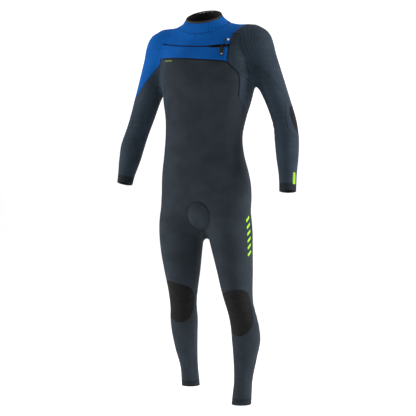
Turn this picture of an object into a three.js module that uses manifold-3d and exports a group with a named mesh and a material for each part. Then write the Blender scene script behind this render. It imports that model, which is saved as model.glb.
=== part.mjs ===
// A full-length neoprene wetsuit with a chest zip, hanging in the shape of its wearer.
//
// Frame: millimetres, +Z up, the suit faces -Y and its wearer's left side is +X.
// Heights are written above the level of the ankles, and the finished group is
// moved so that its origin is the middle of the neck, where the suit is held.
//
// The suit is drawn as one smooth body: a set of limbs, each a stack of ovals,
// melted together. A cage of quads is laid on that body, cut along the seam
// lines, and every panel between seams is thickened into a solid of its own.
import * as THREE from 'three';
import Module from 'manifold-3d';
import { mergeVertices } from 'three/addons/utils/BufferGeometryUtils.js';

const wasm = await Module();
wasm.setup();

// ---------------------------------------------------------------- sizes
const STATURE = 1;            // overall size: 1 is a men's medium
const GIRTH = 1;              // roundness of every limb against its length
const TORSO_WALL = 4;         // neoprene of the trunk
const LIMB_WALL = 3;          // neoprene of the arms and legs
const SEAM_ROOM = 0.3;        // room between two panels that meet, to the wall they have
const CELL = 38;              // length of one row of the cage
const COLUMNS = 24;           // columns around the trunk, a multiple of four
const ARMHOLE = [5, 4];       // rows and columns that the armhole takes out
const CROTCH = 4;             // columns between the legs

const CUFF = 24;              // height of the band at a wrist
const HEM = 22;               // height of the band at an ankle
const BINDING = 7;            // height of the bound edge of the collar

const KNEE_ZONE = 92;         // the knee bends between this far above and below
const ELBOW_ZONE = 66;
const KNEE_PAD = { up: 84, down: 82, angle: 74 };
const ELBOW_PATCH = { up: 58, down: 58, angle: 58 };
const CODPIECE = { x: 5, z: 668, half: 44, tall: 51 };

const ZIP_SLOT = 5.5;         // half the width of the slot that shows the teeth
const ZIP_TAPE = 13;          // width of each tape under the neoprene
const ZIP_FALL = 0.3;         // the flat tapes lie this much of their width under the round chest
const ZIP_ENDS = [-130, 110]; // the zip runs between these X
const SLIDER_AT = 90;         // X of the slider when the zip is closed
const TEETH = { half: 2.4, low: -1, high: 1.8 };
const PULL = { wide: 14.5, long: 42, thick: 2.2, eye: 1.8, rim: 1.3, lean: 8 };
const CORD = 3.2;             // diameter of the elastic cord at the shoulder
const BEAD = 5.2;             // radius of the cord lock
const NECK_MOUNT = [2, -4, 1405];

// One oval of a limb: height, middle x, middle y, half width, reach to the
// front, reach to the back.
const TRUNK = [
  [585, 6, 12, 20, 15, 20], [622, 6, 12, 80, 60, 72],
  [665, 6, 12, 134, 85, 100], [710, 5, 10, 163, 98, 114],
  [770, 4, 8, 170, 104, 114], [830, 1, 6, 164, 106, 104],
  [900, -3, 4, 151, 104, 94], [965, -3, 4, 146, 102, 90],
  [1030, 3, 7, 153, 106, 92], [1100, 8, 12, 168, 114, 100],
  [1170, 11, 16, 178, 120, 108], [1230, 10, 20, 178, 116, 112],
  [1280, 9, 22, 170, 104, 110], [1320, 8, 22, 150, 86, 98],
  [1348, 6, 18, 112, 70, 80], [1368, 4, 12, 70, 52, 58],
  [1385, 2, 10, 15, 15, 15],
];
const NECK = [
  [1280, 6, 22, 50, 46, 50], [1335, 4, 12, 64, 60, 62],
  [1380, 2, 4, 66, 64, 64], [1420, 1, -4, 64, 64, 62],
  [1480, 0, -16, 64, 64, 62],
];
const RIGHT_ARM = [
  [740, -309, -58, 29, 30, 30], [810, -302, -42, 31, 33, 33],
  [880, -294, -22, 41, 42, 42], [940, -288, -4, 46, 46, 48],
  [990, -275, 8, 46, 45, 48], [1030, -262, 14, 47, 47, 48],
  [1100, -240, 18, 50, 52, 52], [1180, -214, 22, 55, 58, 60],
  [1250, -194, 24, 57, 60, 62], [1305, -180, 24, 57, 56, 60],
  [1345, -170, 24, 42, 40, 44], [1366, -165, 24, 10, 10, 10],
];
const LEFT_ARM = [
  [700, 338, -60, 30, 33, 33], [810, 333, -40, 32, 35, 35],
  [880, 326, -20, 40, 42, 42], [940, 319, -2, 44, 46, 48],
  [990, 311, 10, 44, 45, 48], [1030, 300, 16, 45, 47, 48],
  [1100, 274, 20, 48, 52, 52], [1180, 240, 22, 56, 58, 60],
  [1250, 214, 24, 59, 60, 62], [1305, 196, 24, 58, 58, 62],
  [1345, 186, 24, 42, 40, 44], [1366, 180, 24, 10, 10, 10],
];
const RIGHT_LEG = [
  [-40, -98, 118, 34, 37, 39], [16, -98, 113, 34, 37, 39],
  [90, -99, 98, 33, 36, 40], [160, -101, 74, 41, 43, 50],
  [230, -100, 52, 48, 49, 60], [280, -97, 38, 51, 51, 60],
  [320, -95, 30, 49, 53, 54], [350, -94, 24, 50, 56, 54],
  [400, -93, 18, 56, 62, 62], [460, -94, 14, 66, 72, 74],
  [540, -96, 10, 77, 80, 86], [620, -94, 8, 84, 86, 96],
  [690, -88, 8, 84, 86, 98], [760, -82, 8, 70, 70, 80],
];
const LEFT_LEG = [
  [-60, 160, -58, 37, 40, 44], [20, 165, -54, 34, 37, 42],
  [70, 168, -50, 33, 36, 40], [150, 171, -38, 42, 42, 52],
  [215, 172, -30, 51, 48, 62], [270, 166, -28, 51, 50, 60],
  [310, 157, -28, 50, 54, 54], [350, 145, -26, 51, 58, 54],
  [400, 134, -20, 57, 64, 62], [460, 125, -14, 64, 72, 74],
  [540, 112, -8, 74, 80, 86], [620, 99, -2, 83, 86, 96],
  [690, 88, 2, 84, 86, 98], [760, 80, 4, 70, 70, 80],
];
// The ridge of each shoulder, a rod with round ends: from, to, two radii.
const RIGHT_RIDGE = [[-40, 16, 1340], [-168, 26, 1308], 46, 53];
const LEFT_RIDGE = [[46, 16, 1342], [186, 26, 1308], 46, 56];

// Heights of the bends and of the open ends.
const RIGHT_KNEE = 345;
const LEFT_KNEE = 315;
const RIGHT_ELBOW = 1010;
const LEFT_ELBOW = 1005;
const RIGHT_ANKLE = 14;
const LEFT_ANKLE = -14;
const RIGHT_WRIST = 790;
const LEFT_WRIST = 757;

// ---------------------------------------------------------------- the body
const V = (x, y, z) => new THREE.Vector3(x, y, z);
const rad = THREE.MathUtils.degToRad;
const UP = V(0, 0, 1);

// Slope of every column of a stack of ovals, for a smooth curve through them.
function slopes(stack) {
  const rise = (i) => stack[i + 1].map((v, k) => (v - stack[i][k]) / (stack[i + 1][0] - stack[i][0]));
  return stack.map((_, i) => {
    if (i === 0) return rise(0);
    if (i === stack.length - 1) return rise(i - 1);
    const below = rise(i - 1);
    return rise(i).map((v, k) => (v + below[k]) / 2);
  });
}

function makeLimb(stack, power) {
  const sized = stack.map(([z, x, y, half, front, back]) => [z, x, y, half * GIRTH, front * GIRTH, back * GIRTH]);
  return { stack: sized, slope: slopes(sized), power };
}

const trunk = makeLimb(TRUNK, 2.4);
const neck = makeLimb(NECK, 2);
const arms = { right: makeLimb(RIGHT_ARM, 2), left: makeLimb(LEFT_ARM, 2) };
const legs = { right: makeLimb(RIGHT_LEG, 2.1), left: makeLimb(LEFT_LEG, 2.1) };

// The oval of a limb at a height, by a cubic between the two nearest ovals.
function ovalAt({ stack, slope }, z) {
  const last = stack.length - 1;
  const inside = THREE.MathUtils.clamp(z, stack[0][0], stack[last][0]);
  let i = 0;
  while (i < last - 1 && stack[i + 1][0] <= inside) i += 1;
  const h = stack[i + 1][0] - stack[i][0];
  const s = (inside - stack[i][0]) / h;
  const a = 2 * s ** 3 - 3 * s ** 2 + 1;
  const b = (s ** 3 - 2 * s ** 2 + s) * h;
  const c = 3 * s ** 2 - 2 * s ** 3;
  const d = (s ** 3 - s ** 2) * h;
  const value = (k) => a * stack[i][k] + b * slope[i][k] + c * stack[i + 1][k] + d * slope[i + 1][k];
  const change = (k) => (6 * s ** 2 - 6 * s) * (stack[i][k] - stack[i + 1][k]) / h
    + (3 * s ** 2 - 4 * s + 1) * slope[i][k] + (3 * s ** 2 - 2 * s) * slope[i + 1][k];
  const lean = (Math.abs(change(3)) + Math.abs(change(4)) + Math.abs(change(5))) / 3;
  return { x: value(1), y: value(2), half: value(3), front: value(4), back: value(5), lean, over: z - inside };
}

// About how far a point is outside a limb, negative inside it.
function limbDistance(limb, p) {
  const o = ovalAt(limb, p.z);
  const dx = p.x - o.x;
  const dy = p.y - o.y;
  const depth = dy < 0 ? o.front : o.back;
  const reach = Math.hypot(dx, dy) + 1e-6;
  const n = limb.power;
  const ratio = (Math.abs(dx / o.half) ** n + Math.abs(dy / depth) ** n) ** (1 / n) + 1e-6;
  const d = (reach - reach / ratio) / Math.sqrt(1 + o.lean ** 2);
  if (o.over === 0) return d;
  return d > 0 ? Math.hypot(d, o.over) : Math.abs(o.over);
}

function rodDistance([from, to, r0, r1], p) {
  const a = V(...from);
  const along = V(...to).sub(a);
  const rel = p.clone().sub(a);
  const t = THREE.MathUtils.clamp(rel.dot(along) / along.lengthSq(), 0, 1);
  return rel.addScaledVector(along, -t).length() - (r0 + (r1 - r0) * t) * GIRTH;
}

// The lesser of two distances, with the corner between them rounded over k.
function melt(a, b, k) {
  const h = Math.max(k - Math.abs(a - b), 0) / k;
  return Math.min(a, b) - h * h * k / 4;
}

function withoutArms(p) {
  let d = melt(limbDistance(trunk, p), limbDistance(neck, p), 45);
  d = melt(d, rodDistance(RIGHT_RIDGE, p), 50);
  d = melt(d, rodDistance(LEFT_RIDGE, p), 50);
  const two = melt(limbDistance(legs.right, p), limbDistance(legs.left, p), 16);
  return melt(d, two, 26);
}

function body(p) {
  const d = melt(withoutArms(p), limbDistance(arms.right, p), 36);
  return melt(d, limbDistance(arms.left, p), 36);
}

function gradient(p, field = body, h = 0.5) {
  const d = (x, y, z) => (field(V(p.x + x, p.y + y, p.z + z)) - field(V(p.x - x, p.y - y, p.z - z))) / (2 * h);
  return V(d(h, 0, 0), d(0, h, 0), d(0, 0, h));
}

const outward = (p) => gradient(p).normalize();

// Moves a point onto the body along the steepest way.
function settle(p, turns = 3) {
  const q = p.clone();
  for (let i = 0; i < turns; i += 1) {
    const g = gradient(q);
    const step = body(q) / (g.lengthSq() + 1e-9);
    q.addScaledVector(g, -THREE.MathUtils.clamp(step, -25, 25));
  }
  return q;
}

// Where a ray from inside first leaves a body.
function cast(from, way, field = body) {
  const dir = way.clone().normalize();
  let t = 0;
  while (t < 400 && field(from.clone().addScaledVector(dir, t + 6)) < 0) t += 6;
  let low = t;
  let high = t + 6;
  for (let i = 0; i < 18; i += 1) {
    const mid = (low + high) / 2;
    if (field(from.clone().addScaledVector(dir, mid)) < 0) low = mid;
    else high = mid;
  }
  return from.clone().addScaledVector(dir, high);
}

// ---------------------------------------------------------------- the cage
const points = [];
const quads = [];
const rims = new Map();       // a vertex of an open end, and the way that end faces

const addPoints = (list) => list.map((p) => points.push(p) - 1);

// A direction around a limb: 0 is the front, 90 the wearer's right.
function around(degrees, u, v) {
  return u.clone().multiplyScalar(-Math.sin(rad(degrees))).addScaledVector(v, -Math.cos(rad(degrees)));
}

function ringOn(field, centre, normal, angles) {
  const u = V(1, 0, 0).addScaledVector(normal, -normal.x).normalize();
  const v = normal.clone().cross(u);
  return angles.map((a) => cast(centre, around(a, u, v), field));
}

function sew(lower, upper, skip = () => false) {
  const n = lower.length;
  for (let k = 0; k < n; k += 1) {
    const next = (k + 1) % n;
    if (!skip(k)) quads.push([lower[k], lower[next], upper[next], upper[k]]);
  }
}

const between = (a, b, t) => a.map((p, k) => p.clone().lerp(b[k], t));

// Rows of rings from one that is there to a list of target rings.
function extend(start, targets, steps) {
  let below = start;
  let from = start.map((i) => points[i]);
  targets.forEach((target, j) => {
    const count = j === 0 ? steps : 1;
    for (let s = 1; s <= count; s += 1) {
      const ring = addPoints(between(from, target, s / count));
      sew(below, ring);
      below = ring;
    }
    from = target;
  });
  return below;
}

const spread = (from, to, pitch) => {
  const n = Math.max(1, Math.round(Math.abs(to - from) / pitch));
  return Array.from({ length: n + 1 }, (_, i) => from + (to - from) * i / n);
};

// The planes that cut the two ends of the collar.
const collarBase = (p) => 1338 + 0.5 * (p.y + 66) + 0.0015 * p.x ** 2;
const RIM_LEAN = 0.52;
const RIM_FRONT = 1383;
const rimHeight = (p) => RIM_FRONT + RIM_LEAN * (p.y + 64);
const rimNormal = V(0, -RIM_LEAN, 1).normalize();

const FORK = 680;             // the lowest row that goes around both legs
const UNDERARM = 1150;
const SHOULDER = 1310;

function trunkRings() {
  const angles = Array.from({ length: COLUMNS }, (_, c) => 360 * c / COLUMNS);
  const level = (z) => ringOn(withoutArms, V(ovalAt(trunk, z).x, ovalAt(trunk, z).y, z), UP, angles);
  const rings = spread(FORK, UNDERARM, CELL).map(level);
  const firstArm = rings.length - 1;
  for (let i = 1; i <= ARMHOLE[0]; i += 1) {
    rings.push(level(UNDERARM + (SHOULDER - UNDERARM) * i / ARMHOLE[0]));
  }
  const baseNormal = V(0, -0.5, 1).normalize();
  const base = ringOn(withoutArms, V(2, 2, 1372), baseNormal, angles);
  const top = ringOn(withoutArms, V(1, -6, RIM_FRONT + RIM_LEAN * 58), rimNormal, angles);
  const last = rings[rings.length - 1];
  for (const t of [0.3, 0.55, 0.78, 1]) rings.push(between(last, base, t));
  rings.push(between(base, top, 0.5), top);
  return { rings: rings.map(addPoints), firstArm };
}

// The vertices around the armhole, from under the arm by way of the front.
function armholeLoop(rings, row, side, toFront) {
  const [rows, columns] = ARMHOLE;
  const half = columns / 2;
  const at = (r, c) => rings[row + r][side + toFront * c];
  const loop = [];
  for (let c = 0; c < half; c += 1) loop.push(at(0, c));
  for (let r = 0; r < rows; r += 1) loop.push(at(r, half));
  for (let c = half; c > -half; c -= 1) loop.push(at(rows, c));
  for (let r = rows; r > 0; r -= 1) loop.push(at(r, -half));
  for (let c = -half; c < 0; c += 1) loop.push(at(0, c));
  return loop;
}

const axisPoint = (limb, z) => V(ovalAt(limb, z).x, ovalAt(limb, z).y, z);

function axisWay(limb, z) {
  return axisPoint(limb, z + 10).sub(axisPoint(limb, z - 10)).normalize();
}

function markRim(ring, normal) {
  ring.forEach((i) => rims.set(i, normal));
}

function growArm(loop, limb, wrist, first, turn) {
  const angles = loop.map((_, k) => first + turn * k * 360 / loop.length);
  const onLimb = (p) => limbDistance(limb, p);
  const targets = spread(1100, wrist, CELL).map((z) => ringOn(onLimb, axisPoint(limb, z), axisWay(limb, z), angles));
  markRim(extend(loop, targets, 5), axisWay(limb, wrist).negate());
}

function growLeg(loop, limb, ankle, first) {
  const angles = loop.map((_, k) => first + k * 360 / loop.length);
  const onLimb = (p) => limbDistance(limb, p);
  const targets = spread(500, ankle, CELL).map((z) => ringOn(onLimb, axisPoint(limb, z), UP, angles));
  markRim(extend(loop, targets, 5), UP.clone().negate());
}

function buildCage() {
  const { rings, firstArm } = trunkRings();
  const quarter = COLUMNS / 4;
  const [rows, columns] = ARMHOLE;
  const hole = (r, c) => r >= firstArm && r < firstArm + rows
    && [quarter, 3 * quarter].some((s) => c >= s - columns / 2 && c < s + columns / 2);
  for (let r = 0; r < rings.length - 1; r += 1) sew(rings[r], rings[r + 1], (c) => hole(r, c));
  markRim(rings[rings.length - 1], rimNormal);

  growArm(armholeLoop(rings, firstArm, quarter, -1), arms.right, RIGHT_WRIST, 270, 1);
  growArm(armholeLoop(rings, firstArm, 3 * quarter, 1), arms.left, LEFT_WRIST, 90, -1);

  const under = addPoints([V(6, -45, 612), V(6, 10, 606), V(6, 65, 612)]);
  const low = rings[0];
  const half = COLUMNS / 2;
  const legRing = half + CROTCH;
  const lean = 180 * CROTCH / legRing;
  const rightLoop = [...low.slice(0, half + 1), ...under.slice().reverse()];
  const leftLoop = [...low.slice(half), low[0], ...under];
  growLeg(rightLoop, legs.right, RIGHT_ANKLE, -90 + lean);
  growLeg(leftLoop, legs.left, LEFT_ANKLE, 90 + lean);
}

// Evens out the cage: every free vertex goes to the middle of its neighbours
// and back onto the body.
function relax(turns) {
  const near = points.map(() => new Set());
  for (const q of quads) {
    q.forEach((a, k) => {
      near[a].add(q[(k + 1) % 4]);
      near[q[(k + 1) % 4]].add(a);
    });
  }
  for (let turn = 0; turn < turns; turn += 1) {
    const moved = points.map((p, i) => {
      if (rims.has(i)) return p;
      const mid = V(0, 0, 0);
      near[i].forEach((j) => mid.add(points[j]));
      mid.multiplyScalar(1 / near[i].size);
      return settle(p.clone().lerp(mid, 0.6), 1);
    });
    moved.forEach((p, i) => points[i].copy(p));
  }
  points.forEach((p, i) => {
    if (!rims.has(i)) p.copy(settle(p, 3));
  });
}

const triangleNormal = ([a, b, c]) => points[b].clone().sub(points[a]).cross(points[c].clone().sub(points[a]));

function triangles() {
  const out = [];
  for (const [a, b, c, d] of quads) {
    const short = points[a].distanceTo(points[c]) < points[b].distanceTo(points[d]);
    const pair = short ? [[a, b, c], [a, c, d]] : [[a, b, d], [b, c, d]];
    for (const t of pair) {
      const faces = triangleNormal(t).dot(outward(points[t[0]])) > 0;
      out.push(faces ? t : [t[0], t[2], t[1]]);
    }
  }
  return out;
}

// ---------------------------------------------------------------- seams
const pinned = new Set();     // vertices on a seam
const edgeKey = (a, b) => (a < b ? `${a}_${b}` : `${b}_${a}`);

function edgeUse(tris) {
  const use = new Map();
  for (const t of tris) {
    t.forEach((a, k) => {
      const key = edgeKey(a, t[(k + 1) % 3]);
      use.set(key, (use.get(key) || 0) + 1);
    });
  }
  return use;
}

// Moves a free vertex near a seam onto it, along the body.
function slideOnto(i, side) {
  const p = points[i];
  for (let turn = 0; turn < 3; turn += 1) {
    const n = outward(p);
    const g = gradient(p, side, 0.5);
    g.addScaledVector(n, -g.dot(n));
    const size = g.lengthSq();
    if (size < 0.05) return false;
    p.addScaledVector(g, -THREE.MathUtils.clamp(side(p) / size, -12, 12));
    p.copy(settle(p, 1));
  }
  pinned.add(i);
  return true;
}

function sideValues(tris, side) {
  const value = new Map();
  for (const i of new Set(tris.flat())) {
    let v = side(points[i]);
    if (Math.abs(v) < 0.26 * CELL && !pinned.has(i) && !rims.has(i) && slideOnto(i, side)) v = 0;
    if (Math.abs(v) < 0.1 * CELL && (pinned.has(i) || rims.has(i))) v = 0;
    value.set(i, v);
  }
  return value;
}

// Splits a patch of triangles where side() is zero, into [above, below].
function divide(tris, side) {
  const value = sideValues(tris, side);
  const use = edgeUse(tris);
  const made = new Map();
  const crossing = (a, b) => {
    const key = edgeKey(a, b);
    if (!made.has(key)) {
      const t = value.get(a) / (value.get(a) - value.get(b));
      const p = points[a].clone().lerp(points[b], t);
      made.set(key, points.push(use.get(key) === 2 ? settle(p, 2) : p) - 1);
      pinned.add(made.get(key));
    }
    return made.get(key);
  };
  const keep = (t, sign) => {
    const out = [];
    t.forEach((a, k) => {
      const b = t[(k + 1) % 3];
      const [va, vb] = [sign * value.get(a), sign * value.get(b)];
      if (va >= 0) out.push(a);
      if (va * vb < 0) out.push(crossing(a, b));
    });
    return out;
  };
  const fan = (list) => list.slice(2).map((c, k) => [list[0], list[k + 1], c]);
  const parts = [[], []];
  for (const t of tris) {
    const signs = t.map((i) => Math.sign(value.get(i)));
    const total = signs[0] + signs[1] + signs[2];
    if (signs.every((s) => s >= 0) && total > 0) parts[0].push(t);
    else if (signs.every((s) => s <= 0) && total < 0) parts[1].push(t);
    else if (total === 0 && signs.every((s) => s === 0)) {
      const mid = points[t[0]].clone().add(points[t[1]]).add(points[t[2]]).multiplyScalar(1 / 3);
      parts[side(mid) > 0 ? 0 : 1].push(t);
    } else {
      parts[0].push(...fan(keep(t, 1)));
      parts[1].push(...fan(keep(t, -1)));
    }
  }
  return parts;
}

// A value that goes in straight lines through a list of [height, value] pairs.
const ramp = (z, list) => {
  const i = Math.max(0, Math.min(list.length - 2, list.findIndex(([h]) => h > z) - 1));
  const k = z >= list[list.length - 1][0] ? list.length - 2 : i;
  const [[z0, v0], [z1, v1]] = [list[k], list[k + 1]];
  return v0 + (v1 - v0) * THREE.MathUtils.clamp((z - z0) / (z1 - z0), 0, 1);
};

const SIDE_SEAM = [[700, 22], [1000, 30], [1055, -6], [1097, -57], [1187, -65], [1260, -62]];
const SIDE_BACK = [[990, 32], [1010, 42], [1100, 66], [1240, 84]];

// Y of the seam between the front and the back of a leg.
function legSeam(p) {
  const right = p.x < 6;
  const o = ovalAt(right ? legs.right : legs.left, p.z);
  return o.y - 3 - 0.45 * (p.x - o.x) * (right ? 1 : -1);
}

function frontSide(p) {
  const mix = THREE.MathUtils.smoothstep(p.z, 690, 780);
  const low = mix < 1 ? legSeam(p) : 0;
  return low * (1 - mix) + ramp(p.z, SIDE_SEAM) * mix - p.y;
}

// Seams of the upper trunk.
const tapeHeight = (x) => 1240 - 0.1 * x;
const yokeSide = (p) => Math.max(p.z - tapeHeight(p.x), (p.x + p.z - 1343) * 0.707);
const rightArmSide = (p) => -p.x - (150 + 0.2 * (1310 - p.z));
const leftArmSide = (p) => Math.min(p.x - (141 + Math.max(0.39 * (1310 - Math.max(p.z, 1146)), 0.5 * (p.z - 1310))), p.z - 700);
const closureX = (z) => 118 + 0.27 * Math.max(0, z - 1287) + 0.45 * Math.max(0, z - 1330);
const leftShoulderSide = (p) => p.x - closureX(p.z);
const rightCapSide = (p) => (p.z - 1236 - 1.118 * (p.x + 165)) * 0.667;
const leftCapSide = (p) => (p.z - 1228 + 1.04 * (p.x - 204)) * 0.69;
const ZIP_PLANE = { height: 1315, x: -0.047, y: 0.323 };
const zipUp = V(-ZIP_PLANE.x, -ZIP_PLANE.y, 1).normalize();
const zipSide = (p) => (p.z - ZIP_PLANE.height - ZIP_PLANE.x * p.x - ZIP_PLANE.y * p.y) * zipUp.z;

// How far a point is along a limb from a bend of it.
function alongLimb(limb, z) {
  const centre = axisPoint(limb, z);
  const way = axisWay(limb, z);
  return (p) => p.clone().sub(centre).dot(way);
}

// The rounded outline of a pad: faces says which way the middle of it looks.
function padSide(limb, bend, pad, faces) {
  const along = alongLimb(limb, bend);
  return (p) => {
    const o = ovalAt(limb, p.z);
    const a = THREE.MathUtils.radToDeg(Math.atan2(-(p.x - o.x), -(p.y - o.y)));
    const off = Math.abs(((a - faces + 540) % 360) - 180) / pad.angle;
    const s = along(p);
    const n = s > 0 ? 3 : 1.8;
    const r = (off ** n + Math.abs(s / (s > 0 ? pad.up : pad.down)) ** n) ** (1 / n);
    return (1 - r) * 60;
  };
}

function codpieceSide(p) {
  const r = Math.hypot((p.x - CODPIECE.x) / CODPIECE.half, (p.z - CODPIECE.z) / CODPIECE.tall);
  return Math.min((1 - r) * 46, 10 - p.y);
}

const panels = new Map();     // name of a panel: its triangles

// Takes a part out of one patch and gives both parts their names.
function cut(from, side, above, below) {
  const [a, b] = divide(panels.get(from), side);
  panels.delete(from);
  panels.set(above, a);
  panels.set(below, b);
}

function cutArm(side, limb, elbow, wrist, faces) {
  const name = `${side}_arm`;
  cut(name, alongLimb(limb, elbow), 'upper', 'lower');
  const bend = alongLimb(limb, elbow);
  cut('upper', (p) => bend(p) - ELBOW_ZONE, `${side}_upper_arm`, 'zone_a');
  cut('lower', (p) => bend(p) + ELBOW_ZONE, 'zone_b', 'rest');
  panels.set('zone', [...panels.get('zone_a'), ...panels.get('zone_b')]);
  panels.delete('zone_a');
  panels.delete('zone_b');
  cut('zone', padSide(limb, elbow, ELBOW_PATCH, faces), `${side}_elbow_patch`, `${side}_elbow_sleeve`);
  const end = alongLimb(limb, wrist);
  cut('rest', (p) => end(p) - CUFF, `${side}_forearm`, `${side}_cuff`);
}

function cutLeg(side, limb, knee, ankle) {
  const bend = alongLimb(limb, knee);
  cut(`${side}_leg`, (p) => bend(p) - KNEE_ZONE, `${side}_thigh`, 'lower');
  cut('lower', (p) => bend(p) + KNEE_ZONE, 'zone', 'rest');
  cut('zone', padSide(limb, knee, KNEE_PAD, 0), `${side}_knee_pad`, `${side}_knee_back`);
  cut('rest', (p) => p.z - ankle - HEM, 'shin', `${side}_ankle_hem`);
  cut('shin', frontSide, `${side}_shin`, `${side}_calf`);
}

function join(name, ...parts) {
  panels.set(name, parts.flatMap((part) => panels.get(part)));
  parts.filter((part) => part !== name).forEach((part) => panels.delete(part));
}

function cutPanels() {
  panels.set('suit', triangles());
  cut('suit', (p) => (p.z > 1330 && Math.abs(p.x) < 120 ? p.z - collarBase(p) : -50), 'neck', 'suit');
  cut('neck', (p) => (p.z - rimHeight(p)) * rimNormal.z + BINDING, 'collar_binding', 'collar');
  cut('suit', rightArmSide, 'right_arm', 'suit');
  cut('suit', leftArmSide, 'left_arm', 'suit');
  cutArm('right', arms.right, RIGHT_ELBOW, RIGHT_WRIST, 135);
  cutArm('left', arms.left, LEFT_ELBOW, LEFT_WRIST, 250);
  cut('right_upper_arm', rightCapSide, 'right_sleeve_cap', 'right_under_sleeve');
  cut('left_upper_arm', leftCapSide, 'left_cap', 'left_under_sleeve');

  cut('suit', yokeSide, 'yoke', 'trunk');
  cut('yoke', leftShoulderSide, 'left_shoulder', 'yoke');
  join('left_shoulder', 'left_shoulder', 'left_cap');
  cut('yoke', (p) => 26 - p.y, 'chest', 'back_yoke');
  const slot = ZIP_SLOT * 0.85;
  cut('chest', (p) => zipSide(p) - slot, 'chest_yoke', 'low_chest');
  cut('low_chest', (p) => zipSide(p) + slot, 'slot', 'chest_band');
  panels.delete('slot');

  cut('trunk', (p) => p.z - 640, 'trunk', 'both_legs');
  cut('both_legs', (p) => 6 - p.x, 'right_leg', 'left_leg');
  cutLeg('right', legs.right, RIGHT_KNEE, RIGHT_ANKLE);
  cutLeg('left', legs.left, LEFT_KNEE, LEFT_ANKLE);
  cut('right_thigh', frontSide, 'right_front', 'right_thigh_back');
  cut('left_thigh', frontSide, 'left_front', 'left_thigh_back');
  cut('trunk', frontSide, 'trunk_front', 'trunk_back');
  join('front_body', 'trunk_front', 'right_front', 'left_front');
  cut('front_body', codpieceSide, 'codpiece', 'front_body');
  cut('trunk_back', (p) => (p.z > 985 ? Math.min(ramp(p.z, SIDE_BACK) - p.y, (p.z - 985) * 2) : -30), 'sides', 'back');
  cut('sides', (p) => 6 - p.x, 'right_side_panel', 'left_side_panel');
  cut('back', (p) => p.z - 965 - 0.12 * Math.abs(p.x - 4), 'upper_back', 'seat');
}

// ---------------------------------------------------------------- solids
const materials = {
  blue: [0x0a55a5, 0.72, 0], graphite: [0x343c44, 0.8, 0], ribbed: [0x303a43, 0.85, 0],
  black: [0x17181a, 0.8, 0], binding: [0x332f2c, 0.75, 0], tape: [0x0c0d0e, 0.6, 0],
  lime: [0x97cc1f, 0.6, 0], steel: [0xb9bcc0, 0.35, 1], nylon: [0x141516, 0.5, 0],
};
const group = new THREE.Group();

function addMesh(name, geometry, look, parent = group) {
  const [color, roughness, metalness] = materials[look];
  const mesh = new THREE.Mesh(geometry, new THREE.MeshStandardMaterial({ color, roughness, metalness }));
  mesh.name = name;
  parent.add(mesh);
  return mesh;
}

function geometryFrom(vertices, tris) {
  const geometry = new THREE.BufferGeometry();
  geometry.setAttribute('position', new THREE.Float32BufferAttribute(vertices.flatMap((p) => [p.x, p.y, p.z]), 3));
  geometry.setIndex(tris.flat());
  geometry.computeVertexNormals();
  return geometry;
}

// The way into a panel at every vertex of its edge, long enough for the gap.
function insets(tris, normals) {
  const use = edgeUse(tris);
  const ways = new Map();
  const edges = [];
  for (const t of tris) {
    t.forEach((a, k) => {
      const b = t[(k + 1) % 3];
      if (use.get(edgeKey(a, b)) !== 1) return;
      edges.push([a, b]);
      const n = normals.get(a).clone().add(normals.get(b));
      const way = n.cross(points[b].clone().sub(points[a])).normalize();
      for (const i of [a, b]) ways.set(i, [...(ways.get(i) || []), way]);
    });
  }
  const out = new Map();
  ways.forEach((list, i) => {
    const sum = list.reduce((s, w) => s.add(w), V(0, 0, 0));
    const spreadOut = Math.max(0.5, list[0].dot(list[list.length - 1]) + 1);
    out.set(i, sum.multiplyScalar(SEAM_ROOM * TORSO_WALL / 2 / spreadOut));
  });
  return { edges, out };
}

// A closed solid from a patch: the patch, the same patch a wall further in,
// and a strip along every edge.
function panelGeometry(tris, wall) {
  const ids = [...new Set(tris.flat())];
  const normals = new Map(ids.map((i) => [i, outward(points[i])]));
  const { edges, out } = insets(tris, normals);
  const place = new Map(ids.map((i, k) => [i, k]));
  const outer = ids.map((i) => {
    const moved = points[i].clone();
    return rims.has(i) || !out.has(i) ? moved : moved.add(out.get(i));
  });
  const inner = ids.map((i, k) => {
    const n = normals.get(i).clone();
    if (rims.has(i)) n.addScaledVector(rims.get(i), -n.dot(rims.get(i))).normalize();
    return outer[k].clone().addScaledVector(n, -wall);
  });
  const deep = (i) => place.get(i) + ids.length;
  const faces = [];
  for (const t of tris) {
    const [a, b, c] = t.map((i) => place.get(i));
    faces.push([a, b, c], [a + ids.length, c + ids.length, b + ids.length]);
  }
  for (const [a, b] of edges) {
    faces.push([place.get(b), place.get(a), deep(a)], [place.get(b), deep(a), deep(b)]);
  }
  return geometryFrom([...outer, ...inner], faces);
}

const LOOKS = {
  collar: 'blue', collar_binding: 'binding', chest_yoke: 'blue', chest_band: 'blue', back_yoke: 'blue',
  right_sleeve_cap: 'blue', front_body: 'graphite', codpiece: 'graphite', seat: 'graphite',
  right_thigh_back: 'graphite', left_thigh_back: 'graphite', right_shin: 'graphite', left_shin: 'graphite',
  right_calf: 'graphite', left_calf: 'graphite', right_knee_back: 'graphite', left_knee_back: 'graphite',
  right_knee_pad: 'black', left_knee_pad: 'black', right_elbow_patch: 'black', left_elbow_patch: 'black',
  right_cuff: 'tape', left_cuff: 'tape', right_ankle_hem: 'tape', left_ankle_hem: 'tape',
};
const onTrunk = /collar|chest|yoke|back_yoke|front_body|codpiece|seat|upper_back|side_panel|shoulder/;

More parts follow.
